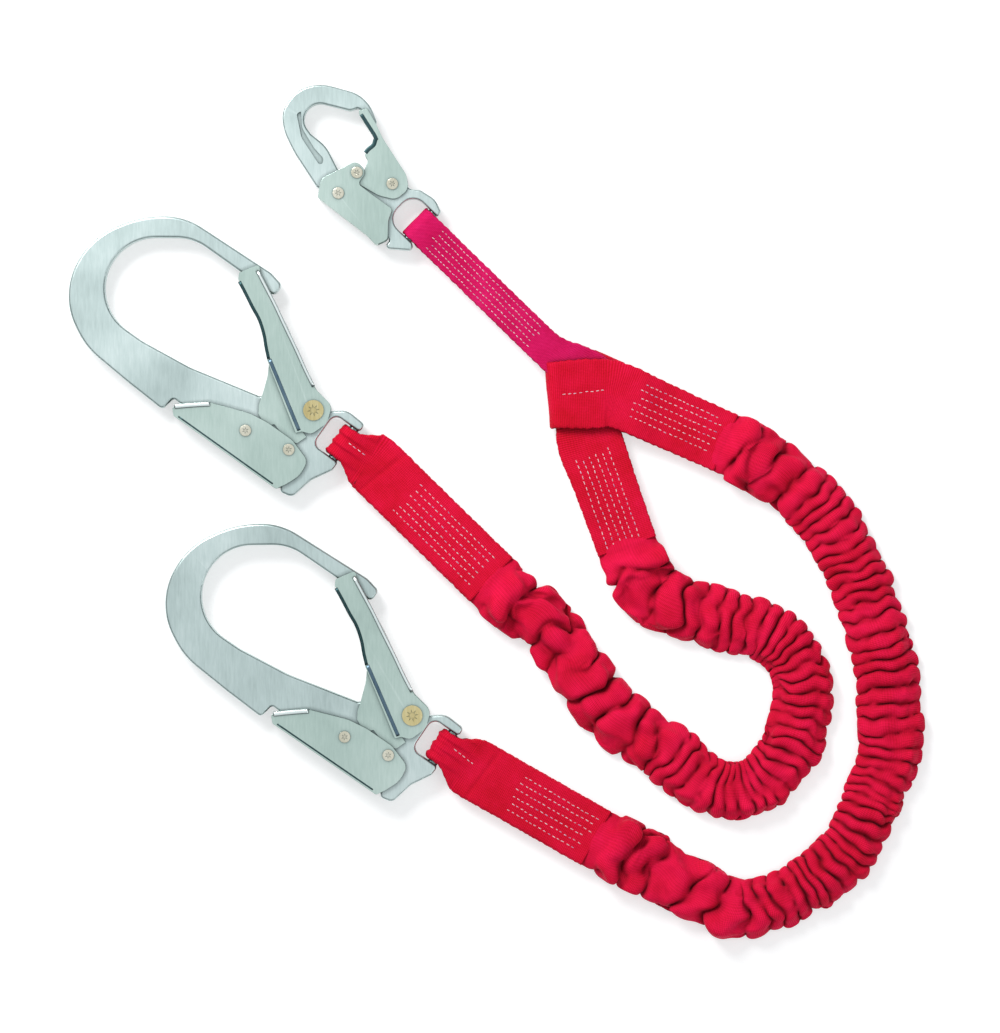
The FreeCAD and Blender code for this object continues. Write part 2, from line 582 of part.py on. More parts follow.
def yoke_loops():
    """Both legs' ends at the strap. Leg 2 wraps round the strap and leg 1, which hangs in its loop."""
    corners = [(120, -14.7), (200, -14.7), (200, 14.2), (120, 14.2)]
    strap_path = [STRAP_FRAME.multVec(Vector(*corner, 0)) for corner in corners]
    opening_1 = [(p.x, p.y) for p in strap_path]
    yoke_loop(1, YOKE_1_FOLD, opening_1, YOKE_1_STACK, YOKE_1_BAND, LEG_ROUTES[0][0], 0.9)
    yoke_loop(2, YOKE_2_FOLD, YOKE_2_OPENING, YOKE_2_STACK, YOKE_2_BAND, LEG_ROUTES[1][0], 0.3)


def route_path(route):
    """The wire of a route: straight runs joined by tangent arcs, each as large as its runs allow."""
    points = [Vector(x, y, size("plane_height")) for x, y in route]
    edges, radii = [], []
    at = points[0]
    for before, here, after in zip(points, points[1:], points[2:]):
        back, ahead = before - here, after - here
        half_turn = (math.pi - back.getAngle(ahead)) / 2
        reach = 0.45 * min(back.Length, ahead.Length)
        radius = reach / math.tan(half_turn)
        start = here + back.normalize() * reach
        end = here + ahead.normalize() * reach
        centre = here + (back + ahead).normalize() * math.hypot(radius, reach)
        middle = centre + (here - centre).normalize() * radius
        edges.append(Part.LineSegment(at, start).toShape())
        edges.append(Part.Arc(start, middle, end).toShape())
        radii.append(round(radius))
        at = end
    edges.append(Part.LineSegment(at, points[-1]).toShape())
    return Part.Wire(edges), radii


def oval(half_width, half_height, centre, along):
    """An upright oval wire across the direction along."""
    across = Vector(-along.y, along.x, 0)
    ellipse = Part.Ellipse(Vector(0, 0, 0), half_width, half_height).toShape()
    turn = FreeCAD.Matrix(across.x, 0, along.x, centre.x, across.y, 0, along.y, centre.y, 0, 1, 0, centre.z)
    return Part.Wire(ellipse.transformGeometry(turn))


def oblong(half_width, half_thick, centre, along):
    """An upright rectangular wire across the direction along."""
    across = Vector(-along.y, along.x, 0) * half_width
    up = Z_AXIS * half_thick
    corners = [centre + across + up, centre - across + up, centre - across - up, centre + across - up]
    return Part.makePolygon(corners + corners[:1])


def swept(path, section):
    pipe = Part.BRepOffsetAPI.MakePipeShell(path)
    pipe.setBiNormalMode(Z_AXIS)
    pipe.add(section)
    pipe.build()
    pipe.makeSolid()
    return pipe.shape()


def gathered_leg(number, route):
    """The gathered stretch of a leg: its hollow jacket and the energy absorbing core strap inside it."""
    path, radii = route_path(route)
    start = Vector(*route[0], size("plane_height"))
    along = (Vector(*route[1], size("plane_height")) - start).normalize()
    width, height, wall = size("jacket_half_width"), size("jacket_half_height"), size("jacket_wall")
    outside = swept(path, oval(width, height, start, along))
    inside = swept(path, oval(width - wall, height - wall, start, along))
    core_section = oblong(size("core_half_width"), size("core_half_thick"), start, along)
    jacket = outside.cut(inside)
    core = swept(path, core_section)
    for name, shape, area in [
        ("jacket", jacket, math.pi * (width * height - (width - wall) * (height - wall))),
        ("core", core, 4 * size("core_half_width") * size("core_half_thick")),
    ]:
        leg = doc.addObject("Part::Feature", f"leg_{number}_{name}")
        leg.Label = f"leg_{number}_{name}"
        leg.Shape = shape
        leg.Placement = FreeCAD.Placement()
        share = shape.Volume / (area * path.Length)
        print(f"{leg.Label}: volume over section times length {share:.3f}")
    print(f"leg {number}: length {path.Length:.0f} mm, arc radii {radii}")


# ---------------------------------------------------------------- the whole lanyard
snap_hook(SNAP_FRAME)
for number, frame in enumerate(REBAR_FRAMES, 1):
    rebar_hook(number, frame)
harness_strap()
for number, (frame, route) in enumerate(zip(REBAR_FRAMES, LEG_ROUTES), 1):
    hook_loop(number, frame, route)
    gathered_leg(number, route)
yoke_loops()
doc.recompute()

HIDDEN_INPUTS = ("_loop_side", "_loop_plan", "_yoke_loop_block", "_yoke_loop_band")
for thing in doc.Objects:
    if "Invalid" in thing.State or "Error" in thing.State:
        raise RuntimeError(f"{thing.Name} of {thing.Label} failed: {thing.State}")
for cut in CUTS:
    if cut.BaseFeature.Shape.Volume - cut.Shape.Volume < 0.5:
        raise RuntimeError(f"{cut.Name} cuts nothing")
KINDS = ("PartDesign::Body", "Part::Common", "Part::Fuse", "Part::Feature")
subparts = [
    thing for thing in doc.Objects
    if thing.TypeId in KINDS and not thing.Label.endswith(HIDDEN_INPUTS)
]
os.makedirs("parts", exist_ok=True)
for subpart in subparts:
    shape = subpart.Shape
    if shape.isNull() or not shape.isValid() or not shape.Solids:
        raise RuntimeError(f"{subpart.Label} is not a valid solid")
    shape.exportStep(f"parts/{subpart.Label}.step")
print(f"{len(subparts)} sub-parts written")
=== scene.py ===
"""Visual model of the twin-leg shock absorbing lanyard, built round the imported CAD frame."""
import json
import math
import random

import bpy
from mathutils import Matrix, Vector, noise


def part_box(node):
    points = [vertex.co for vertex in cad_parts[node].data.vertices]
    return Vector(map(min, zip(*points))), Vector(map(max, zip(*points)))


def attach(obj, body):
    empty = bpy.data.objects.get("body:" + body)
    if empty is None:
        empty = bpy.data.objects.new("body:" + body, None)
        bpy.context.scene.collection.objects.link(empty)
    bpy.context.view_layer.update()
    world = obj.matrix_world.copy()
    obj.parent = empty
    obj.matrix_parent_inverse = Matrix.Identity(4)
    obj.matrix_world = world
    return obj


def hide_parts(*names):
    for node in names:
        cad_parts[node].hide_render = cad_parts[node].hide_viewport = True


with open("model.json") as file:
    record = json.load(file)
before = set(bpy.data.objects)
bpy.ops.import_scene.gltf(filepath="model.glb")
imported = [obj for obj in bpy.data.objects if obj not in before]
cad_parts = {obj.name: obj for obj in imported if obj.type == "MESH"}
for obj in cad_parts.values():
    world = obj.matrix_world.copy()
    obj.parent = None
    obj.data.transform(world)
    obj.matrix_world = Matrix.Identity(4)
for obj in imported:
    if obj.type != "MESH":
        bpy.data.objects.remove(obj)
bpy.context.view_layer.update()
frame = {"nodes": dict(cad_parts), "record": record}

MM = 0.001
PLANE = 0.01035
UP = Vector((0, 0, 1))

# ---------------------------------------------------------------- camera
VIEW_CENTRE = (0.0724, -0.0305)
VIEW_HEIGHT = 0.759
LENS, SENSOR = 180, 36

camera = bpy.data.objects.new("camera", bpy.data.cameras.new("camera"))
bpy.context.scene.collection.objects.link(camera)
camera.data.lens = LENS
camera.data.sensor_width = SENSOR
camera.location = (*VIEW_CENTRE, PLANE + VIEW_HEIGHT * LENS / SENSOR)
bpy.context.scene.camera = camera

# ---------------------------------------------------------------- the legs' routes
# The same points as in part.py, along each leg's gathered stretch from the junction to the hook.
LEG_ROUTES = [
    [
        (166, -53), (173, -74), (186, -90), (206, -100), (228, -105), (252, -109), (274, -114),
        (290, -127), (298, -144), (299, -164), (295, -183), (288, -203), (275, -223), (256, -237),
        (237, -237), (220, -229), (206, -215), (194, -200), (175, -191), (158, -180), (144, -166),
        (133, -150), (123, -133), (112, -116), (99, -102), (82, -91), (66, -77),
    ],
    [
        (237, 24), (256, 15), (276, 4), (294, -9), (310, -26), (324, -46), (334, -66),
        (342, -89), (349, -112), (356, -136), (359, -161), (361, -184), (362, -205), (356, -225),
        (345, -244), (339, -265), (327, -284), (309, -299), (290, -310), (269, -321), (249, -325),
        (231, -317), (213, -305), (195, -292), (177, -284), (160, -276), (143, -267),
    ],
]


def spline_points(name, route):
    """Points along a smooth NURBS line whose control points are the route."""
    curve = bpy.data.curves.new(name, "CURVE")
    curve.dimensions = "3D"
    curve.resolution_u = 12
    spline = curve.splines.new("NURBS")
    spline.points.add(len(route) - 1)
    for point, (x, y) in zip(spline.points, route):
        point.co = (x * MM, y * MM, PLANE, 1)
    spline.order_u = 3
    spline.use_endpoint_u = True
    holder = bpy.data.objects.new(name, curve)
    mesh = bpy.data.meshes.new_from_object(holder)
    points = [vertex.co.copy() for vertex in mesh.vertices]
    bpy.data.meshes.remove(mesh)
    bpy.data.objects.remove(holder)
    return points


class Line:
    """A polyline that is read by the distance along it."""

    def __init__(self, points):
        self.points = [Vector(p) for p in points]
        self.marks = [0.0]
        for a, b in zip(self.points, self.points[1:]):
            self.marks.append(self.marks[-1] + (b - a).length)
        self.length = self.marks[-1]
        self.last = 0

    def at(self, distance):
        """The point at a distance, on the straight extension of the line where that is past an end."""
        first, second, last = self.points[0], self.points[1], self.points[-1]
        if distance < 0:
            return first + (first - second).normalized() * -distance
        if distance > self.length:
            return last + (last - self.points[-2]).normalized() * (distance - self.length)
        if distance < self.marks[self.last]:
            self.last = 0
        while self.last < len(self.marks) - 2 and distance > self.marks[self.last + 1]:
            self.last += 1
        a, b = self.marks[self.last], self.marks[self.last + 1]
        share = (distance - a) / (b - a) if b > a else 0.0
        return self.points[self.last].lerp(self.points[self.last + 1], share)

    def along(self, distance, reach=0.006):
        """The way that the line runs at a distance."""
        return (self.at(distance + reach) - self.at(distance - reach)).normalized()


def smoothstep(low, high, x):
    """0 up to the low value, 1 from the high one, and a smooth rise between them."""
    t = min(max((x - low) / (high - low), 0.0), 1.0)
    return t * t * (3 - 2 * t)


def wander(x, y=0.0, z=0.0):
    """Smooth noise between about -1 and 1."""
    return noise.noise(Vector((x, y, z)))


def eased(value, start, limit):
    """The value up to start, and beyond it a value that never reaches the limit."""
    if value <= start:
        return value
    room = limit - start
    return limit - room * math.exp((start - value) / room)


# Where the reach of the jacket's folds from its centre starts to be eased, and the limit that it nears.
REACH_UP, REACH_DOWN, REACH_OUT = (0.0135, 0.0182), (0.0075, 0.0099), (0.0235, 0.0268)


def kept_in(spot, centre):
    """The point, held above the floor, under the tallest fold and near enough to the cord's centre."""
    reach = spot - centre
    reach.z = eased(reach.z, *REACH_UP)
    reach.z = -eased(-reach.z, *REACH_DOWN)
    spread = Vector((reach.x, reach.y, 0))
    if spread.length > REACH_OUT[0]:
        spread *= eased(spread.length, *REACH_OUT) / spread.length
    return centre + Vector((spread.x, spread.y, reach.z))


def link_mesh(name, vertices, faces, uvs=None):
    """A smooth-shaded mesh object. uvs gives a pair for each face corner."""
    mesh = bpy.data.meshes.new(name)
    mesh.from_pydata(vertices, [], faces)
    if uvs:
        layer = mesh.uv_layers.new(name="weave")
        layer.data.foreach_set("uv", [number for pair in uvs for number in pair])
    mesh.polygons.foreach_set("use_smooth", [True] * len(faces))
    mesh.update()
    made = bpy.data.objects.new(name, mesh)
    bpy.context.scene.collection.objects.link(made)
    return made


# ---------------------------------------------------------------- gathered jackets
RINGS_PER_METRE = 900
AROUND = 56                  # points in a ring
OVERLAP = 0.007              # how far a jacket reaches into the sewn band at each end
FULL = 1.75                  # rest length of the jacket's cloth over the length that it is gathered into
JACKET_WIDTH = 0.046
FLAT_HALF_WIDTH = 0.0222     # the jacket's half width and half height where it enters a band
FLAT_HALF_HEIGHT = 0.0030
FULL_HALF_WIDTH = 0.0182     # and along its gathered length, before the folds
FULL_HALF_HEIGHT = 0.0086
MOST_SETTLED = 0.007         # how far the cloth may move as it settles


def pleat_wave(phase):
    """A broad rounded lobe with a narrow valley at every whole turn, from -1 to 1."""
    return 2 * abs(math.sin(phase / 2)) ** 0.7 - 1


def jacket_shape(line, seed, coarse, wide):
    """The gathered tube's rings in space, its rest shape's rings, and its texture coordinates.

    coarse(t) is 0 where the pleats are fine and 1 where they are large soft puffs, at the share t
    of the length, and wide(t) scales the width.
    """
    whole = line.length + 2 * OVERLAP
    count = int(whole * RINGS_PER_METRE)
    rings, rest = [], []
    turn = 0.0
    step = whole / count
    for i in range(count + 1):
        distance = i * step - OVERLAP
        t = distance / line.length
        rough = coarse(t)
        period = (0.0092 + 0.0185 * rough) * 2 ** (0.95 * wander(distance * 38, seed))
        turn += 2 * math.pi * step / period
        ends = smoothstep(0, 0.02, distance) * smoothstep(0, 0.02, line.length - distance)
        centre = line.at(distance)
        along = line.along(distance)
        side = Vector((-along.y, along.x, 0))
        uneven = 1 + 0.10 * wander(distance * 46, seed + 20)
        full_width = (FULL_HALF_WIDTH + 0.0006 * rough) * wide(t) * uneven
        half_width = FLAT_HALF_WIDTH + (full_width - FLAT_HALF_WIDTH) * ends
        inside = smoothstep(-OVERLAP, 0, distance) * smoothstep(-OVERLAP, 0, line.length - distance)
        half_height = FLAT_HALF_HEIGHT + 0.0016 * inside + (FULL_HALF_HEIGHT - FLAT_HALF_HEIGHT) * ends
        depth = (0.0035 + 0.0027 * rough) * ends
        sway = (0.0022 + 0.0042 * rough) * wander(distance * 34, seed + 9) * ends
        ring, flat = [], []
        for j in range(AROUND):
            angle = 2 * math.pi * j / AROUND
            cosine, sine = math.cos(angle), math.sin(angle)
            warp = (3.4 - 0.9 * rough) * wander(distance * 24, 1.1 * cosine + seed, 0.9 * sine)
            warp += 1.9 * (1 - 0.8 * rough) * wander(distance * 60, 2.1 * cosine, 1.7 * sine + seed)
            phase = turn + warp * (1.0 + 0.5 * rough)
            cross_warp = (5.0 - 3.2 * rough) * wander(distance * 31 + 70, 1.7 * cosine - seed, 1.2 * sine)
            cover = pleat_wave(0.63 * turn + 2 + cross_warp)
            cover += 0.9 * wander(distance * 48, 2.4 * cosine + seed, 1.8 * sine + 5) - 0.75
            strength = 1.0 + 0.9 * wander(distance * 55 + 40, 2.1 * cosine + seed, 1.5 * sine)
            lump = wander(distance * 42, 1.3 * cosine, 1.3 * sine - seed)
            frill = abs(cosine) ** 3 * (0.35 + 0.9 * wander(distance * 130, math.copysign(3, cosine) + seed))
            folds = max(pleat_wave(phase) * strength, cover)
            out = depth * (folds + (0.6 + 0.7 * rough) * lump + frill)
            lean = -0.0013 * (1 + 0.8 * rough) * ends * math.sin(phase) * strength
            x = abs(cosine) ** 0.82 * math.copysign(1, cosine)
            across = side * (x * (half_width + out) + sway)
            lift = UP * (sine * (half_height + 1.05 * out))
            ring.append(kept_in(centre + across + lift, centre) + along * lean)
            flat.append(Vector((distance * FULL, cosine * 0.0156, sine * 0.0156)))
        rings.append(ring)
        rest.append(flat)
    return rings, rest, step


def tube_mesh(name, rings, step):
    """A tube through the rings with closed ends and a texture laid out in metres."""
    count = len(rings)
    vertices = [point for ring in rings for point in ring]
    faces, uvs = [], []
    round_step = 2 * JACKET_WIDTH / AROUND
    for i in range(count - 1):
        for j in range(AROUND):
            k = (j + 1) % AROUND
            faces.append((i * AROUND + j, i * AROUND + k, (i + 1) * AROUND + k, (i + 1) * AROUND + j))
            low, high = i * step * FULL, (i + 1) * step * FULL
            left, right = j * round_step, (j + 1) * round_step
            uvs += [(low, left), (low, right), (high, right), (high, left)]
    for i, order in [(0, -1), (count - 1, 1)]:
        centre = sum(rings[i], Vector()) / AROUND
        vertices.append(centre)
        middle = len(vertices) - 1
        for j in range(AROUND):
            pair = [i * AROUND + j, i * AROUND + (j + 1) % AROUND][::order]
            faces.append((*pair, middle))
            uvs += [(0, 0)] * 3
    return link_mesh(name, vertices, faces, uvs)


def collider(name, vertices, faces, outer):
    made = link_mesh(name, vertices, faces)
    made.modifiers.new("collision", "COLLISION")
    made.collision.thickness_outer = outer
    made.collision.cloth_friction = 12
    return made


def crumple(jacket, rings, rest, line, step, frames=26):
    """Lets the gathered cloth settle on the floor, held near its ends, and keeps the settled shape."""
    scene = bpy.context.scene
    reach = 0.5
    floor = collider(
        "cloth_floor", [(-reach, -reach, 0), (reach, -reach, 0), (reach, reach, 0), (-reach, reach, 0)],
        [(0, 1, 2, 3)], 0.0004,
    )
    jacket.shape_key_add(name="Basis")
    key = jacket.shape_key_add(name="rest")
    flat_points = [point for ring in rest for point in ring]
    for point, place in zip(key.data, flat_points):
        point.co = place
    for point, ring in zip(list(key.data)[len(flat_points):], [rest[0], rest[-1]]):
        point.co = sum(ring, Vector()) / AROUND
    group = jacket.vertex_groups.new(name="hold")
    count = len(rings)
    for i in range(count):
        near_end = min(i, count - 1 - i) * step - OVERLAP
        grip = 1.0 if near_end < 0.008 else 0.06 + 0.5 * (1 - smoothstep(0.008, 0.03, near_end))
        group.add([i * AROUND + j for j in range(AROUND)], min(grip, 1.0), "REPLACE")
    group.add([count * AROUND, count * AROUND + 1], 1.0, "REPLACE")
    cloth = jacket.modifiers.new("cloth", "CLOTH")
    settings = cloth.settings
    settings.quality = 5
    settings.mass = 0.15
    settings.tension_stiffness = settings.compression_stiffness = 25
    settings.shear_stiffness = 8
    settings.bending_stiffness = 0.15
    settings.tension_damping = settings.compression_damping = 8
    settings.shear_damping = 8
    settings.air_damping = 4
    settings.rest_shape_key = key
    settings.vertex_group_mass = "hold"
    settings.pin_stiffness = 1.2
    settings.effector_weights.gravity = 0.4
    cloth.collision_settings.distance_min = 0.0006
    cloth.point_cache.frame_start, cloth.point_cache.frame_end = 1, frames
    scene.frame_start, scene.frame_end = 1, frames
    for number in range(1, frames + 1):
        scene.frame_set(number)
    depsgraph = bpy.context.evaluated_depsgraph_get()
    settled = bpy.data.meshes.new_from_object(jacket.evaluated_get(depsgraph))
    places = [vertex.co.copy() for vertex in settled.vertices]
    bpy.data.meshes.remove(settled)
    jacket.modifiers.clear()
    jacket.shape_key_clear()
    jacket.vertex_groups.clear()
    for number, (vertex, place) in enumerate(zip(jacket.data.vertices, places)):
        away = place - vertex.co
        if away.length > MOST_SETTLED:
            away = away.normalized() * MOST_SETTLED
        if number < count * AROUND:
            centre = line.at(number // AROUND * step - OVERLAP)
            vertex.co = kept_in(vertex.co + away, centre)
    scene.frame_set(1)
    bpy.data.objects.remove(floor)


def gathered_jacket(number, route, seed, coarse, wide):
    points = spline_points(f"leg_{number}_line", route)
    line = Line(points)
    rings, rest, step = jacket_shape(line, seed, coarse, wide)
    jacket = tube_mesh(f"leg_{number}_gathered_jacket", rings, step)
    crumple(jacket, rings, rest, line, step)
    subdivision = jacket.modifiers.new("subdivision", "SUBSURF")
    subdivision.levels = subdivision.render_levels = 1
    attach(jacket, "webbing")
    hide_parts(f"leg_{number}_jacket", f"leg_{number}_core")
    return jacket


def ends_soft(t):
    """Large puffs near both ends of leg 1 and over the stretch nearest its hook."""
    return max(1 - smoothstep(0.05, 0.2, t), smoothstep(0.62, 0.8, t))


def ends_softer(t):
    return max(1 - smoothstep(0.04, 0.14, t), smoothstep(0.72, 0.86, t))


def leg_1_width(t):
    """Uneven, and slimmer and pinched over the large puffs next to the hook's loop."""
    puffs = smoothstep(0.66, 0.82, t) * (1 - smoothstep(0.95, 1, t))
    return (1 + 0.10 * wander(t * 9, 5)) * (1 - puffs * (0.10 + 0.16 * max(0, wander(t * 30, 11) * 1.6)))


def leg_2_width(t):
    return 1 + 0.10 * wander(t * 10, 17)


# ---------------------------------------------------------------- materials
def maths(tree, operation, a, b=None):
    """The output of a maths node on one or two values or sockets."""
    node = tree.nodes.new("ShaderNodeMath")
    node.operation = operation
    for socket, value in zip(node.inputs, (a, b)):
        if value is None:
            continue
        if isinstance(value, (int, float)):
            socket.default_value = value
        else:
            tree.links.new(value, socket)
    return node.outputs[0]


def ramp(tree, factor, stops):
    """The output of a colour ramp. A stop is its position and its colour."""
    node = tree.nodes.new("ShaderNodeValToRGB")
    elements = node.color_ramp.elements
    elements[0].position, elements[0].color = stops[0][0], (*stops[0][1], 1)
    elements[1].position, elements[1].color = stops[-1][0], (*stops[-1][1], 1)
    for position, colour in stops[1:-1]:
        elements.new(position).color = (*colour, 1)
    tree.links.new(factor, node.inputs[0])
    return node.outputs[0]


def blank_material(name):
    """A new material, with its node tree and its shader."""
    material = bpy.data.materials.new(name)
    material.use_nodes = True
    tree = material.node_tree
    shader = tree.nodes["Principled BSDF"]
    return material, tree, shader


def noise_at(tree, vector, scale, detail=3.0, rough=0.5):
    """The output of a noise texture read at a place."""
    node = tree.nodes.new("ShaderNodeTexNoise")
    node.inputs["Scale"].default_value = scale
    node.inputs["Detail"].default_value = detail
    node.inputs["Roughness"].default_value = rough
    tree.links.new(vector, node.inputs["Vector"])
    return node.outputs[0]


def with_painted_crease_shade(tree, colour, deep, reach, power):
    """The colour, turning to the deep one where neighbouring surfaces close in on it: painted shade in
    creases and crevices, read from ambient occlusion.
    """
    shade = tree.nodes.new("ShaderNodeAmbientOcclusion")
    shade.inputs["Distance"].default_value = reach
    shade.samples = 8
    mix = tree.nodes.new("ShaderNodeMix")
    mix.data_type = "RGBA"
    for socket in mix.inputs:
        if socket.type == "RGBA" and socket.name == "A":
            socket.default_value = (*deep, 1)
        if socket.type == "RGBA" and socket.name == "B":
            tree.links.new(colour, socket)
    tree.links.new(maths(tree, "POWER", shade.outputs["AO"], power), mix.inputs["Factor"])
    return next(socket for socket in mix.outputs if socket.type == "RGBA")


def webbing_material(name, dark, mid, light, sheen, rib, yarn, slant=0.0, depth=0.0003):
    """Woven webbing: ribs across the band, fine yarns along it, mottling, painted shade in its creases and a
    soft sheen.
    """
    material, tree, shader = blank_material(name)
    link = tree.links.new
    weave = tree.nodes.new("ShaderNodeUVMap")
    weave.uv_map = "weave"
    parts = tree.nodes.new("ShaderNodeSeparateXYZ")
    link(weave.outputs[0], parts.inputs[0])
    place = tree.nodes.new("ShaderNodeTexCoord").outputs["Object"]
    bend = maths(tree, "MULTIPLY", noise_at(tree, place, 120, 2), 0.0006)
    along = maths(tree, "ADD", parts.outputs[0], maths(tree, "MULTIPLY", parts.outputs[1], slant))
    ribs = maths(tree, "SINE", maths(tree, "MULTIPLY", maths(tree, "ADD", along, bend), 2 * math.pi / rib))
    yarns = maths(tree, "SINE", maths(tree, "MULTIPLY", parts.outputs[1], 2 * math.pi / yarn))
    woven = maths(tree, "ADD", maths(tree, "MULTIPLY", ribs, 0.34), maths(tree, "MULTIPLY", yarns, 0.16))
    fuzz = noise_at(tree, place, 1500, 2)
    woven = maths(tree, "ADD", woven, maths(tree, "MULTIPLY", fuzz, 0.5))
    broad = noise_at(tree, place, 38, 4, 0.6)
    tone = maths(tree, "ADD", maths(tree, "MULTIPLY", woven, 0.45), maths(tree, "MULTIPLY", broad, 0.75))
    colour = ramp(tree, tone, [(0.18, dark), (0.5, mid), (0.82, light)])
    # Painted shade: the red turns deep red in the creases of the folds.
    link(with_painted_crease_shade(tree, colour, (0.16, 0.0, 0.001), 0.008, 1.5), shader.inputs["Base Color"])
    shader.inputs["Roughness"].default_value = 0.78
    shader.inputs["Specular IOR Level"].default_value = 0.16
    shader.inputs["Sheen Weight"].default_value = 0.06
    shader.inputs["Sheen Roughness"].default_value = 0.45
    shader.inputs["Sheen Tint"].default_value = (*sheen, 1)
    bump = tree.nodes.new("ShaderNodeBump")
    bump.inputs["Strength"].default_value = 0.8
    bump.inputs["Distance"].default_value = depth
    link(woven, bump.inputs["Height"])
    link(bump.outputs[0], shader.inputs["Normal"])
    return material


def metal_material(name, dark, mid, light, rough, scratches=1.0):
    """Plated steel: cloudy plating, fine scratches, dulled patches, tone lighter on sharp edges and darker in
    hollows, and painted shade in crevices.
    """
    material, tree, shader = blank_material(name)
    link = tree.links.new
    place = tree.nodes.new("ShaderNodeTexCoord").outputs["Object"]
    clouds = noise_at(tree, place, 15, 3, 0.5)
    grain = noise_at(tree, place, 900, 3)
    stretched = tree.nodes.new("ShaderNodeMapping")
    stretched.inputs["Scale"].default_value = (1.0, 0.12, 1.0)
    stretched.inputs["Rotation"].default_value = (0, 0, math.radians(35))
    link(place, stretched.inputs[0])
    lines = noise_at(tree, stretched.outputs[0], 650, 4, 0.7)
    tone = maths(tree, "ADD", maths(tree, "MULTIPLY", clouds, 0.62), maths(tree, "MULTIPLY", lines, 0.38))
    # Lighter on sharp outer edges and darker in hollows, from the mesh's pointiness.
    curvature = tree.nodes.new("ShaderNodeNewGeometry").outputs["Pointiness"]
    curvature_tone = maths(tree, "MULTIPLY", maths(tree, "SUBTRACT", curvature, 0.5), 0.8)
    colour = ramp(tree, maths(tree, "ADD", tone, curvature_tone), [(0.25, dark), (0.5, mid), (0.78, light)])
    # Painted shade: the plating turns dark in crevices and between parts.
    link(with_painted_crease_shade(tree, colour, (0.06, 0.09, 0.09), 0.004, 1.5), shader.inputs["Base Color"])
    shader.inputs["Metallic"].default_value = 1.0
    patchy = maths(tree, "MULTIPLY", maths(tree, "SUBTRACT", clouds, 0.5), 0.2)
    link(maths(tree, "ADD", patchy, rough), shader.inputs["Roughness"])
    height = maths(
        tree, "ADD", maths(tree, "MULTIPLY", lines, 0.5 * scratches), maths(tree, "MULTIPLY", grain, 0.3),
    )
    bump = tree.nodes.new("ShaderNodeBump")
    bump.inputs["Strength"].default_value = 0.35
    bump.inputs["Distance"].default_value = 0.00012
    link(height, bump.inputs["Height"])
    link(bump.outputs[0], shader.inputs["Normal"])
    return material


def thread_material(name, dark, light):
    """Sewing thread, slightly uneven in colour."""
    material, tree, shader = blank_material(name)
    place = tree.nodes.new("ShaderNodeTexCoord").outputs["Object"]
    colour = ramp(tree, noise_at(tree, place, 420, 3), [(0.35, dark), (0.62, light)])
    tree.links.new(colour, shader.inputs["Base Color"])
    shader.inputs["Roughness"].default_value = 0.6
    shader.inputs["Sheen Weight"].default_value = 0.3
    bump = tree.nodes.new("ShaderNodeBump")
    bump.inputs["Strength"].default_value = 0.6
    bump.inputs["Distance"].default_value = 0.0001
    tree.links.new(noise_at(tree, place, 2600, 2), bump.inputs["Height"])
    tree.links.new(bump.outputs[0], shader.inputs["Normal"])
    return material


LEG_RED = webbing_material(
    "leg_webbing_red", (0.50, 0.0, 0.012), (0.77, 0.002, 0.044), (0.95, 0.008, 0.095), (1.0, 0.25, 0.5),
    0.0013, 0.0011,
)
FLAT_RED = webbing_material(
    "leg_webbing_red_flat", (0.48, 0.0, 0.006), (0.69, 0.0, 0.026), (0.86, 0.006, 0.070), (1.0, 0.25, 0.5),
    0.0013, 0.0011,
)
STRAP_PINK = webbing_material(
    "strap_webbing_magenta", (0.46, 0.0, 0.05), (0.655, 0.001, 0.098), (0.82, 0.02, 0.18),
    (1.0, 0.4, 0.7), 0.0013, 0.0012, slant=0.8,
)
ZINC = metal_material("zinc_plate", (0.38, 0.47, 0.455), (0.54, 0.645, 0.63), (0.74, 0.83, 0.82), 0.38)
GATE_ZINC = metal_material(
    "zinc_plate_pressed", (0.36, 0.47, 0.43), (0.475, 0.60, 0.55), (0.62, 0.735, 0.69), 0.33, 1.3)
# Painted highlight: a lighter copy of the plating for the gate's rolled flange and the lever's bent lip.
HIGHLIGHT_ZINC = metal_material(
    "zinc_plate_painted_highlight", (0.62, 0.73, 0.71), (0.80, 0.88, 0.86), (0.93, 0.97, 0.96), 0.3)
SHADOWED_ZINC = metal_material(
    "zinc_plate_in_shade", (0.012, 0.035, 0.035), (0.035, 0.075, 0.08), (0.10, 0.16, 0.17), 0.45)
# Painted shade: a darker copy of the plating for the step in the gate's plate.
JOGGLE_SHADE_ZINC = metal_material(
    "zinc_plate_joggle_painted_shade", (0.04, 0.08, 0.12), (0.10, 0.16, 0.21), (0.22, 0.31, 0.36), 0.4)
BRASS = metal_material("brass_rivet", (0.30, 0.22, 0.08), (0.62, 0.52, 0.25), (0.85, 0.78, 0.50), 0.28)
NICKEL = metal_material("nickel_rivet", (0.42, 0.40, 0.30), (0.66, 0.63, 0.50), (0.86, 0.84, 0.74), 0.26)
WIRE = metal_material("spring_wire", (0.12, 0.13, 0.14), (0.25, 0.26, 0.27), (0.40, 0.41, 0.42), 0.35)
WHITE_THREAD = thread_material("white_thread", (0.62, 0.30, 0.38), (0.90, 0.72, 0.76))
LILAC_THREAD = thread_material("lilac_thread", (0.40, 0.16, 0.34), (0.80, 0.58, 0.74))

# ---------------------------------------------------------------- materials of the CAD nodes
SLOT_MATERIALS = {"zinc_steel": ZINC, "brass_rivet": BRASS, "nickel_rivet": NICKEL, "spring_steel": WIRE}


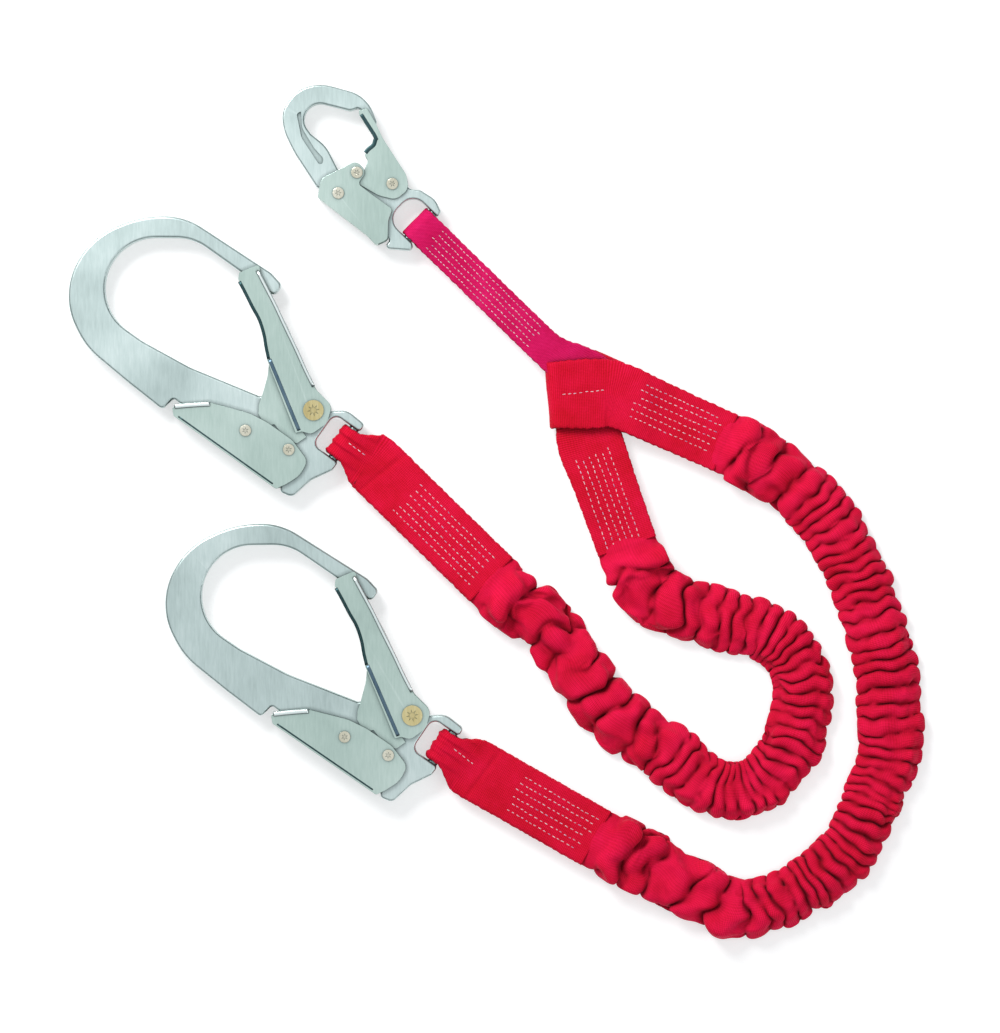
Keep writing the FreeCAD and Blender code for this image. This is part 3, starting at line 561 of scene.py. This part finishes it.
def soften_edges(piece, pressed):
    """Rounds a CAD piece's sharp edges a little, and more on a pressed plate."""
    weld = piece.modifiers.new("weld", "WELD")
    weld.merge_threshold = 0.00001
    if pressed:
        flat = piece.modifiers.new("flat", "DECIMATE")
        flat.decimate_type, flat.angle_limit = "DISSOLVE", math.radians(0.5)
    bevel = piece.modifiers.new("bevel", "BEVEL")
    bevel.width, bevel.segments = 0.0007 if pressed else 0.00025, 2
    bevel.limit_method, bevel.angle_limit = "ANGLE", math.radians(35)
    piece.modifiers.new("normals", "WEIGHTED_NORMAL")


for row in frame["record"]["subparts"]:
    material = SLOT_MATERIALS.get(row["material_slot"])
    if row["node"].endswith(("_gate", "_lock_lever")):
        material = GATE_ZINC
    if material:
        node = frame["nodes"][row["node"]]
        node.data.materials.clear()
        node.data.materials.append(material)
    if row["material_slot"] in SLOT_MATERIALS and not row["node"].endswith("spring"):
        soften_edges(node, row["node"].endswith(("_gate", "_lock_lever")))

for number, (route, seed, coarse, wide) in enumerate(
    [(LEG_ROUTES[0], 3.1, ends_soft, leg_1_width), (LEG_ROUTES[1], 8.4, ends_softer, leg_2_width)], 1
):
    gathered_jacket(number, route, seed, coarse, wide).data.materials.append(LEG_RED)

# ---------------------------------------------------------------- flat webbing
SNAP_AT, SNAP_BAR, SNAP_BAR_TURN = (8.3, 188.4, -53.5), 8.0, 9.2
REBAR_AT = [(-45.6, 25.4, -35.5), (27.2, -198.0, -34.5)]
REBAR_BAR = 3.8
BAR_CAVITY = 4.1
LEG_HALF_WIDTH, EYE_HALF_WIDTH, LEG_LAYER = 22.5, 12.4, 3.9
STRAP_HALF_WIDTH, STRAP_LAYER = 12.7, 2.6
STRAP_LENGTH = 188.8
YOKE_LAYER = 2.4
COLUMNS, EDGE_STEPS, FOLD_STEPS = 26, 4, 10
FLOOR_GAP = 0.0002
# The single row of stitches across each leg's neck at its hook.
NECK_ROWS = [((0.003, 0.0022), (0.019, 0.0021)), ((0.006, 0.004), (0.027, 0.003))]


def plan_frame(x, y, turn):
    """A function from a frame's own plan coordinates to world ones, in millimetres."""
    cosine, sine = math.cos(math.radians(turn)), math.sin(math.radians(turn))
    return lambda u, v: (x + u * cosine - v * sine, y + u * sine + v * cosine)


def even(points, count):
    """Evenly spaced points on a smooth curve through plan points given in millimetres."""
    spots = [Vector((x * MM, y * MM, 0)) for x, y in points]
    spots = [2 * spots[0] - spots[1]] + spots + [2 * spots[-1] - spots[-2]]
    fine = []
    steps = 14
    for a, b, c, d in zip(spots, spots[1:], spots[2:], spots[3:]):
        for k in range(steps):
            t = k / steps
            fine.append(
                0.5 * (2 * b + (c - a) * t + (2 * a - 5 * b + 4 * c - d) * t ** 2
                       + (3 * b - a - 3 * c + d) * t ** 3)
            )
    fine.append(spots[-2])
    line = Line(fine)
    return [line.at(line.length * k / (count - 1)) for k in range(count)]


def level(heights, share):
    """A height in metres at a share of the length, easing between the given ones."""
    for (a, low), (b, high) in zip(heights, heights[1:]):
        if share <= b:
            return MM * (low + (high - low) * smoothstep(a, b, share))
    return MM * heights[-1][1]


def folded(left, right, lower, upper, samples, closed=False):
    """Stations of a strip that comes in along its lower layer, folds round and leaves along its upper one."""
    lefts, rights = even(left, samples), even(right, samples)
    stations = []

    def layer(heights, order):
        for k in order:
            z = level(heights, k / (samples - 1))
            stations.append((lefts[k] + UP * z, rights[k] + UP * z))

    def fold(k, inner, start, end):
        a, b = (lefts[k] + rights[k]) / 2, (lefts[inner] + rights[inner]) / 2
        out = (a - b).normalized()
        radius, middle = (end - start) / 2, (start + end) / 2
        for step in range(1, FOLD_STEPS):
            angle = math.pi * step / FOLD_STEPS
            shift = out * abs(radius) * math.sin(angle) + UP * (middle - radius * math.cos(angle))
            stations.append((lefts[k] + shift, rights[k] + shift))

    layer(lower, range(samples - 1, -1, -1))
    fold(0, 2, level(lower, 0), level(upper, 0))
    layer(upper, range(samples))
    if closed:
        fold(samples - 1, samples - 3, level(upper, 1), level(lower, 1))
    return stations


class Strip:
    """A strip of webbing: its stations, the way that it faces, and its surface relief."""

    def __init__(self, stations, thick, seed, relief=None, closed=False):
        self.stations, self.half, self.seed, self.closed = stations, thick * MM / 2, seed, closed
        self.relief = relief or (lambda u, x: 0.0)
        self.middles = [(a + b) / 2 for a, b in stations]
        self.marks = [0.0]
        for a, b in zip(self.middles, self.middles[1:]):
            self.marks.append(self.marks[-1] + (b - a).length)

    def basis(self, i):
        """At a station: the way along, the way across, the way out, and half the width."""
        count = len(self.stations)
        before = self.middles[i - 1] if i or self.closed else self.middles[i]
        after = self.middles[(i + 1) % count] if i < count - 1 or self.closed else self.middles[i]
        along = (after - before).normalized()
        left, right = self.stations[i]
        across = (left - right).normalized()
        across = (across - along * across.dot(along)).normalized()
        return along, across, along.cross(across), (left - right).length / 2

    def height(self, u, x):
        """How far the outer surface stands from the middle of the strip."""
        wave = 0.00022 * wander(u * 60, x * 90, self.seed) + 0.00010 * wander(u * 300, x * 300, self.seed)
        return self.half + wave + self.relief(u, x)

    def surface(self, u, x):
        """A point on the outer surface, its normal and the way along, at a distance and an offset."""
        i = 1
        while i < len(self.marks) - 2 and self.marks[i + 1] < u:
            i += 1
        share = (u - self.marks[i]) / (self.marks[i + 1] - self.marks[i])
        along, across, out, _ = self.basis(i)
        spot = self.middles[i].lerp(self.middles[i + 1], min(max(share, 0.0), 1.0))
        return spot + across * x + out * self.height(u, x), out, along, across

    def mesh(self, name):
        """The strip as a solid band with rounded edges."""
        count = len(self.stations)
        rings = []
        for i in range(count):
            u = self.marks[i]
            _, across, out, wide = self.basis(i)
            wide += 0.00030 * math.sin(u * 1050 + 3 * wander(u * 90, self.seed))
            wide += 0.00035 * wander(u * 130, self.seed + 4)
            flat = wide - self.half
            ring = []
            for k in range(COLUMNS + 1):
                x = flat * (1 - 2 * k / COLUMNS)
                ring.append(self.middles[i] + across * x + out * self.height(u, x))
            for k in range(1, EDGE_STEPS):
                angle = math.pi * k / EDGE_STEPS
                ring.append(self.middles[i] - across * (flat + self.half * math.sin(angle))
                            + out * self.half * math.cos(angle))
            for k in range(COLUMNS + 1):
                x = flat * (2 * k / COLUMNS - 1)
                ring.append(self.middles[i] + across * x - out * self.half)
            for k in range(1, EDGE_STEPS):
                angle = math.pi * k / EDGE_STEPS
                ring.append(self.middles[i] + across * (flat + self.half * math.sin(angle))
                            - out * self.half * math.cos(angle))
            rings.append(ring)
        size = len(rings[0])
        vertices = [p for ring in rings for p in ring]
        faces, uvs = [], []
        spread = 2 * self.basis(count // 2)[3] / COLUMNS
        for i in range(count if self.closed else count - 1):
            j = (i + 1) % count
            low = self.marks[i]
            high = self.marks[j] if j else low + (self.middles[0] - self.middles[i]).length
            for k in range(size):
                m = (k + 1) % size
                near, far = k * spread, (k + 1) * spread
                faces.append((i * size + k, j * size + k, j * size + m, i * size + m))
                uvs += [(low, near), (high, near), (high, far), (low, far)]
        if not self.closed:
            for i, order in [(0, 1), (count - 1, -1)]:
                faces.append(tuple(range(i * size, (i + 1) * size))[::order])
                uvs += [(self.marks[i], k * spread) for k in range(size)]
        return link_mesh(name, vertices, faces, uvs)


def finished(piece, slot, material, *nodes):
    """Gives a piece of webbing its material and body, and flattens it where it meets the floor."""
    for vertex in piece.data.vertices:
        vertex.co.z = max(vertex.co.z, FLOOR_GAP)
    piece.data.materials.append(material)
    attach(piece, "webbing")
    if nodes:
        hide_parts(*nodes)
    return piece


# ---------------------------------------------------------------- stitching
def stitches(name, strip, rows, random_seed, threads, slot, length=0.0026, gap=0.0014, thick=0.00033):
    """Rows of separate stitches on a strip. A row is its start and end, each a distance and an offset."""
    dice = random.Random(random_seed)
    groups = [([], []) for _ in threads]
    sides = 6
    for (u0, x0), (u1, x1) in rows:
        total = math.hypot(u1 - u0, x1 - x0)
        at = dice.uniform(0, gap)
        while at + length < total:
            long = length * dice.uniform(0.75, 1.15)
            middle = (at + long / 2) / total
            u = u0 + (u1 - u0) * middle
            x = x0 + (x1 - x0) * middle + dice.uniform(-0.00025, 0.00025)
            spot, out, along, across = strip.surface(u, x)
            way = (along * (u1 - u0) + across * (x1 - x0)).normalized()
            way = (way + across * dice.uniform(-0.14, 0.14)).normalized()
            side = out.cross(way)
            vertices, faces = dice.choices(groups, [4] + [1] * (len(groups) - 1))[0]
            base = len(vertices)
            for step, fat in [(-0.5, 0.25), (-0.38, 0.85), (0, 1.0), (0.38, 0.85), (0.5, 0.25)]:
                sink = thick * (0.35 - 2.6 * abs(step) ** 2.2)
                for k in range(sides):
                    angle = 2 * math.pi * k / sides
                    vertices.append(
                        spot + way * long * step + side * thick * fat * math.cos(angle)
                        + out * (sink + 0.8 * thick * fat * math.sin(angle))
                    )
            for ring in range(4):
                for k in range(sides):
                    m = (k + 1) % sides
                    a, b = base + ring * sides, base + (ring + 1) * sides
                    faces.append((a + k, b + k, b + m, a + m))
            faces.append(tuple(base + k for k in range(sides)))
            faces.append(tuple(base + 4 * sides + k for k in range(sides))[::-1])
            at += long + gap * dice.uniform(0.7, 1.4)
    for (label, material), (vertices, faces) in zip(threads, groups):
        if faces:
            finished(link_mesh(f"{name}_{label}", vertices, faces), slot, material)


def even_rows(offsets, start, end, dice_seed):
    """Rows along a strip at the given offsets, in millimetres, with slightly uneven ends."""
    dice = random.Random(dice_seed)
    rows = []
    for x in offsets:
        first = ((start + dice.uniform(-2, 2)) * MM, x * MM)
        last = ((end + dice.uniform(-3, 2)) * MM, (x + dice.uniform(-0.6, 0.6)) * MM)
        rows.append((first, last))
    return rows


def moved_on(rows, distance):
    """The rows, moved on along their strip."""
    return [((a[0] + distance, a[1]), (b[0] + distance, b[1])) for a, b in rows]


THREADS = [("white_stitches", WHITE_THREAD), ("lilac_stitches", LILAC_THREAD)]


def puckers(rows, depth=0.00028, spread=0.0011):
    """Relief of the shallow grooves that rows of stitching pull into a strip."""
    def relief(u, x):
        pull = 0.0
        for (u0, x0), (u1, x1) in rows:
            if u0 <= u <= u1:
                line = x0 + (x1 - x0) * (u - u0) / (u1 - u0)
                pull += math.exp(-((x - line) / spread) ** 2)
        return -depth * pull
    return relief


# ---------------------------------------------------------------- harness strap
def harness_strap():
    """The strap: looped round the snap hook's bar, stitched, and opened where the legs pass through."""
    to_snap = plan_frame(*SNAP_AT)
    turn = math.radians(SNAP_BAR_TURN)
    bar = to_snap(SNAP_BAR * math.cos(turn), SNAP_BAR * math.sin(turn))
    place = plan_frame(*bar, SNAP_AT[2] + SNAP_BAR_TURN)
    length, plane = STRAP_LENGTH, PLANE / MM
    xs = [0, 20, 50, 80, 110, 130, 142, 152, 164, 178, length]
    flare = [0, 0, 0, 0, 0, 0.6, 4.0, 9.0, 13.0, 14.0, 14.0]
    left = [place(x, STRAP_HALF_WIDTH + extra) for x, extra in zip(xs, flare)]
    right = [place(x, -STRAP_HALF_WIDTH) for x in xs]
    spread = BAR_CAVITY + STRAP_LAYER / 2
    shut = STRAP_LAYER / 2 + 0.05
    closes, parts, open_again = 32 / length, 132 / length, 146 / length
    low, high = 6.9, 12.3
    lower = [(0, plane - spread), (closes, plane - shut), (parts, plane - shut)]
    lower += [(open_again, low), (1, low)]
    upper = [(0, plane + spread), (closes, plane + shut), (parts, plane + shut)]
    upper += [(open_again, high), (1, high)]
    samples, seed = 110, 2.2
    stations = folded(left, right, lower, upper, samples, closed=True)
    rows = even_rows([-8.6, -4.4, 0, 4.4, 8.6], 13, 119, 5)
    rows = moved_on(rows, Strip(stations, STRAP_LAYER, seed).marks[samples + FOLD_STEPS - 1])
    strip = Strip(stations, STRAP_LAYER, seed, puckers(rows, 0.00022, 0.0009), closed=True)
    finished(strip.mesh("harness_strap_webbing"), "strap_webbing", STRAP_PINK, "harness_strap")
    stitches("harness_strap", strip, rows, 11, THREADS, "strap_webbing", 0.0022, 0.0011, 0.00030)


# ---------------------------------------------------------------- legs' sewn ends
def neck_relief(neck, seed, crease, rows):
    """Folds that run along a strip where it is squeezed into an eye, a cross crease, and stitch grooves."""
    grooves = puckers(rows)

    def relief(u, x):
        from_neck = max(u - neck, 0.0)
        squeeze = 1 - smoothstep(0.004, 0.034, from_neck)
        folds = math.cos(x * 720 + 2.5 * wander(u * 45, seed)) + 0.6 * math.cos(x * 1500 + seed)
        dent = math.exp(-((from_neck - crease - 0.12 * x) / 0.0013) ** 2)
        swell = 0.0007 * wander(u * 35, x * 45, seed + 3) * smoothstep(0.01, 0.05, from_neck)
        return 0.00055 * squeeze * folds - 0.0007 * dent + swell + grooves(u, x)
    return relief


def hook_end(number):
    """A leg's sewn end at its rebar hook: the loop round the bar, the flat length and its stitching."""
    x, y, turn = REBAR_AT[number - 1]
    hook = plan_frame(x, y, turn)
    place = plan_frame(*hook(REBAR_BAR, 0), turn)
    route = LEG_ROUTES[number - 1]
    end, before = Vector(route[-1]), Vector(route[-2])
    along = (before - end).normalized()
    across = Vector((-along.y, along.x)) * LEG_HALF_WIDTH
    origin = Vector(place(0, 0))
    reach = (end - origin).length
    outline = [(0, EYE_HALF_WIDTH), (6, EYE_HALF_WIDTH + 0.3), (12, 16), (20, 21), (28, LEG_HALF_WIDTH)]
    edges = []
    for side in (1, -1):
        edge = [Vector(place(a, side * b)) for a, b in outline]
        last = end + across * side
        edge += [edge[-1].lerp(last, share) for share in (0.3, 0.6, 0.85, 1)]
        edges.append([tuple(point) for point in edge])
    left, right = edges
    plane, spread = PLANE / MM, BAR_CAVITY + LEG_LAYER / 2
    shut = LEG_LAYER / 2 + 0.05
    lower = [(0, plane - spread), (33 / reach, plane - shut), (1, plane - shut)]
    upper = [(0, plane + spread), (33 / reach, plane + shut), (1, plane + shut)]
    samples = 100
    stations = folded(left, right, lower, upper, samples)
    neck = Strip(stations, LEG_LAYER, number).marks[samples + FOLD_STEPS - 1]
    rows = even_rows([-13.6, -8.4, -3.2, 2.6, 8.0, 13.4], 62, reach - 5, 20 + number)
    rows.append(NECK_ROWS[number - 1])
    rows = moved_on(rows, neck)
    strip = Strip(stations, LEG_LAYER, number, neck_relief(neck, 3.3 * number, 0.036, rows))
    finished(strip.mesh(f"leg_{number}_hook_end"), "leg_webbing", FLAT_RED, f"leg_{number}_hook_loop")
    stitches(f"leg_{number}_hook_end", strip, rows, 30 + number, THREADS, "leg_webbing")


def yoke_end(number, left, right, lower, upper, crease, row_offsets, row_span, extra_rows=()):
    """A leg's sewn end at the strap: the fold, the flat length and its stitching."""
    samples = 110
    stations = folded(left, right, lower, upper, samples)
    neck = Strip(stations, YOKE_LAYER, number + 6).marks[samples + FOLD_STEPS - 1]
    rows = even_rows(row_offsets, *row_span, 40 + number)
    rows += [((a * MM, b * MM), (c * MM, d * MM)) for (a, b), (c, d) in extra_rows]
    rows = moved_on(rows, neck)
    grooves = puckers(rows)

    def relief(u, x):
        from_fold = u - neck
        dent = math.exp(-((from_fold - crease + 0.25 * x) / 0.002) ** 2)
        swell = 0.0006 * wander(u * 35, x * 45, number + 3)
        return swell + grooves(u, x) - 0.0006 * dent

    strip = Strip(stations, YOKE_LAYER, number + 6, relief)
    finished(strip.mesh(f"leg_{number}_yoke_end"), "leg_webbing", FLAT_RED, f"leg_{number}_yoke_loop")
    stitches(f"leg_{number}_yoke_end", strip, rows, 50 + number, THREADS, "leg_webbing")


harness_strap()
hook_end(1)
hook_end(2)
BAND_1, BAND_2 = plan_frame(135.6, 33.2, -70.57), plan_frame(169.3, 54.2, -24.04)
FLAT = LEG_HALF_WIDTH
LEFT_1 = [(162.5, 79.5), (158.0, 64.0), (155.5, 50.0)]
LEFT_1 += [BAND_1(3, FLAT), BAND_1(30, FLAT), BAND_1(60, FLAT), BAND_1(91, FLAT + 0.1)]
RIGHT_1 = [(140.5, 89.2), (123.9, 70.6), (115.2, 47.6)]
RIGHT_1 += [BAND_1(0, -FLAT), BAND_1(30, -FLAT), BAND_1(60, -FLAT), BAND_1(91, 0.1 - FLAT)]
LEFT_2 = [(112.8, 83.1), (127, 84.6), (150.3, 85.0), (166, 80.5)]
LEFT_2 += [BAND_2(1, FLAT), BAND_2(25, FLAT), BAND_2(50, FLAT), BAND_2(75.5, FLAT + 0.1)]
RIGHT_2 = [(117.0, 34.4), (128, 34.0), (142, 34.2), (152, 35.0)]
RIGHT_2 += [BAND_2(3, -FLAT), BAND_2(25, -FLAT), BAND_2(50, -FLAT), BAND_2(75.5, 0.1 - FLAT)]
yoke_end(
    1, LEFT_1, RIGHT_1,
    [(0, 4.4), (0.42, 4.4), (0.8, 8.4), (1, 8.4)],
    [(0, 9.4), (0.42, 9.4), (0.8, 12.3), (1, 12.3)],
    0.2, [-14, -9, -4, 1, 6, 11], (73, 152),
)
yoke_end(
    2, LEFT_2, RIGHT_2,
    [(0, 1.6), (0.45, 1.6), (0.62, 8.2), (1, 8.4)],
    [(0, 15.0), (0.45, 15.0), (0.66, 12.4), (1, 12.3)],
    0.2, [15, 10, 4.6, -0.6, -5.8, -11], (58, 125),
    [((3, 0), (36, 2.5))],
)


# ---------------------------------------------------------------- painted shade and painted highlights along the folded edges of the hooks' pressed parts
def painted_light_ridge(name, body, place, points, width, low, high, material):
    """A narrow rounded ridge along plan points of a hook, from the low to the high height. The darker copies
    of the plating given to it are painted shade, the lighter ones painted highlights.
    """
    spots = [Vector((*place(u, v), 0)) for u, v in points]
    rim = 7
    vertices, faces = [], []
    for i, spot in enumerate(spots):
        along = (spots[min(i + 1, len(spots) - 1)] - spots[max(i - 1, 0)]).normalized()
        side = Vector((-along.y, along.x, 0))
        for j in range(rim):
            angle = math.pi * j / (rim - 1)
            out = spot + side * width / 2 * math.cos(angle)
            vertices.append(Vector((out.x, out.y, low + (high - low) * math.sin(angle) ** 0.5)) * MM)
    for i in range(len(spots) - 1):
        for j in range(rim):
            k = (j + 1) % rim
            faces.append((i * rim + j, i * rim + k, (i + 1) * rim + k, (i + 1) * rim + j))
    faces += [tuple(range(rim))[::-1], tuple(range((len(spots) - 1) * rim, len(spots) * rim))]
    made = link_mesh(name, vertices, faces)
    made.data.materials.append(material)
    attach(made, body)
    return made


def curved(points, count=24):
    """Points on the smooth line through hook-plan points."""
    return [(p.x / MM, p.y / MM) for p in even(points, count)]


# In a hook's own plan: painted shade along the gate's inner edge and step and the lever's foot, and painted
# highlights along the gate's outer edge and the lever's bent lip.
GATE_INNER = [(-127, 52.4), (-119, 48.4), (-108, 42.6), (-99, 38.2), (-90, 31.5), (-83, 24.5), (-76.5, 18.6)]
GATE_OUTER = [(-121, 66.5), (-112, 61.8), (-96, 53.6), (-80, 44.6), (-64, 35.8), (-50, 27.6), (-38, 21.2)]
GATE_JOGGLE = [(-76, 18.8), (-60, 8.9), (-44, -1.2), (-28, -11.2)]
LEVER_LIP = [(-112.5, -50), (-106, -44.4), (-99, -38.6), (-92.5, -33.4)]
LEVER_FOOT = [(-106, -54.2), (-80, -54.2), (-50, -54.2), (-21, -54.2)]
SUNK, FLUSH = 0.3, 0.12      # how deep a ridge is set in its plate, and how far a flush one stands out
for number, at in enumerate(REBAR_AT, 1):
    name, place = f"rebar_hook_{number}", plan_frame(*at)
    gate_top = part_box(f"{name}_gate")[1][2] / MM
    lever_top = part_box(f"{name}_lock_lever")[1][2] / MM
    for part, top, points, width, rise, material in [
        ("gate", gate_top, GATE_INNER, 2.6, FLUSH, SHADOWED_ZINC),
        ("gate", gate_top, GATE_OUTER, 2.8, 0.7, HIGHLIGHT_ZINC),
        ("gate", gate_top, GATE_JOGGLE, 3.2, FLUSH, JOGGLE_SHADE_ZINC),
        ("lever", lever_top, LEVER_LIP, 3.6, 0.9, HIGHLIGHT_ZINC),
        ("lever", lever_top, LEVER_FOOT, 1.5, 0.1, SHADOWED_ZINC),
    ]:
        painted_strip = f"{name}_{part}_edge_{round(-points[0][0])}_{round(width * 10)}"
        painted_light_ridge(painted_strip, f"{name}_{part}", place, curved(points), width, top - SUNK, top + rise, material)

# Painted shade along the snap hook gate's inner edge and beside its near flange.
SNAP_INNER = [(-62.5, 12.6), (-60, 9), (-59.6, 4), (-58.8, 0.6)]
SNAP_SHADE = [(-83.5, 15), (-75, 14.4), (-66, 13.8), (-61.5, 12.9)]
place = plan_frame(*SNAP_AT)
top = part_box("snap_hook_gate")[1][2] / MM
for label, points, width in [("inner", SNAP_INNER, 3.4), ("shade", SNAP_SHADE, 3.0)]:
    painted_strip = f"snap_gate_edge_{label}"
    painted_light_ridge(painted_strip, "snap_hook_gate", place, curved(points), width, top - SUNK, top + FLUSH, SHADOWED_ZINC)


# ---------------------------------------------------------------- floor and light
def area_light(name, place, aim, size, power):
    """A square light at a place, turned to face the aim."""
    light = bpy.data.lights.new(name, "AREA")
    light.energy, light.size = power, size
    holder = bpy.data.objects.new(name, light)
    bpy.context.scene.collection.objects.link(holder)
    holder.location = place
    holder.rotation_euler = (Vector(aim) - Vector(place)).to_track_quat("-Z", "Y").to_euler()


def studio():
    """A pale floor, a sky that is bright overhead and dark at the horizon, a key light and a fill light."""
    reach = 4.0
    floor = link_mesh(
        "studio_floor", [(-reach, -reach, 0), (reach, -reach, 0), (reach, reach, 0), (-reach, reach, 0)],
        [(0, 1, 2, 3)],
    )
    material, tree, shader = blank_material("pale_floor")
    place = tree.nodes.new("ShaderNodeTexCoord").outputs["Object"]
    colour = ramp(tree, noise_at(tree, place, 2.0), [(0.3, (0.56, 0.56, 0.56)), (0.7, (0.60, 0.60, 0.60))])
    tree.links.new(colour, shader.inputs["Base Color"])
    shader.inputs["Roughness"].default_value = 0.9
    shader.inputs["Emission Color"].default_value = (1, 1, 1, 1)
    shader.inputs["Emission Strength"].default_value = 0.52
    floor.data.materials.append(material)
    world = bpy.data.worlds.new("studio")
    world.use_nodes = True
    background = world.node_tree.nodes["Background"]
    tree = world.node_tree
    sky = tree.nodes.new("ShaderNodeSeparateXYZ")
    tree.links.new(tree.nodes.new("ShaderNodeTexCoord").outputs["Generated"], sky.inputs[0])
    shade = ramp(tree, sky.outputs[2], [
        (0.0, (0.05, 0.06, 0.07)), (0.45, (0.10, 0.12, 0.13)),
        (0.75, (0.55, 0.58, 0.60)), (1.0, (0.95, 0.98, 1.0)),
    ])
    tree.links.new(shade, background.inputs[0])
    background.inputs[1].default_value = 0.95
    bpy.context.scene.world = world
    area_light("key", (-0.8, 1.2, 1.3), (0.1, 0, 0), 0.8, 34)
    area_light("fill", (1.3, -0.9, 1.4), (0.1, 0, 0), 1.2, 6)


studio()
bpy.context.scene.view_settings.view_transform = "Standard"
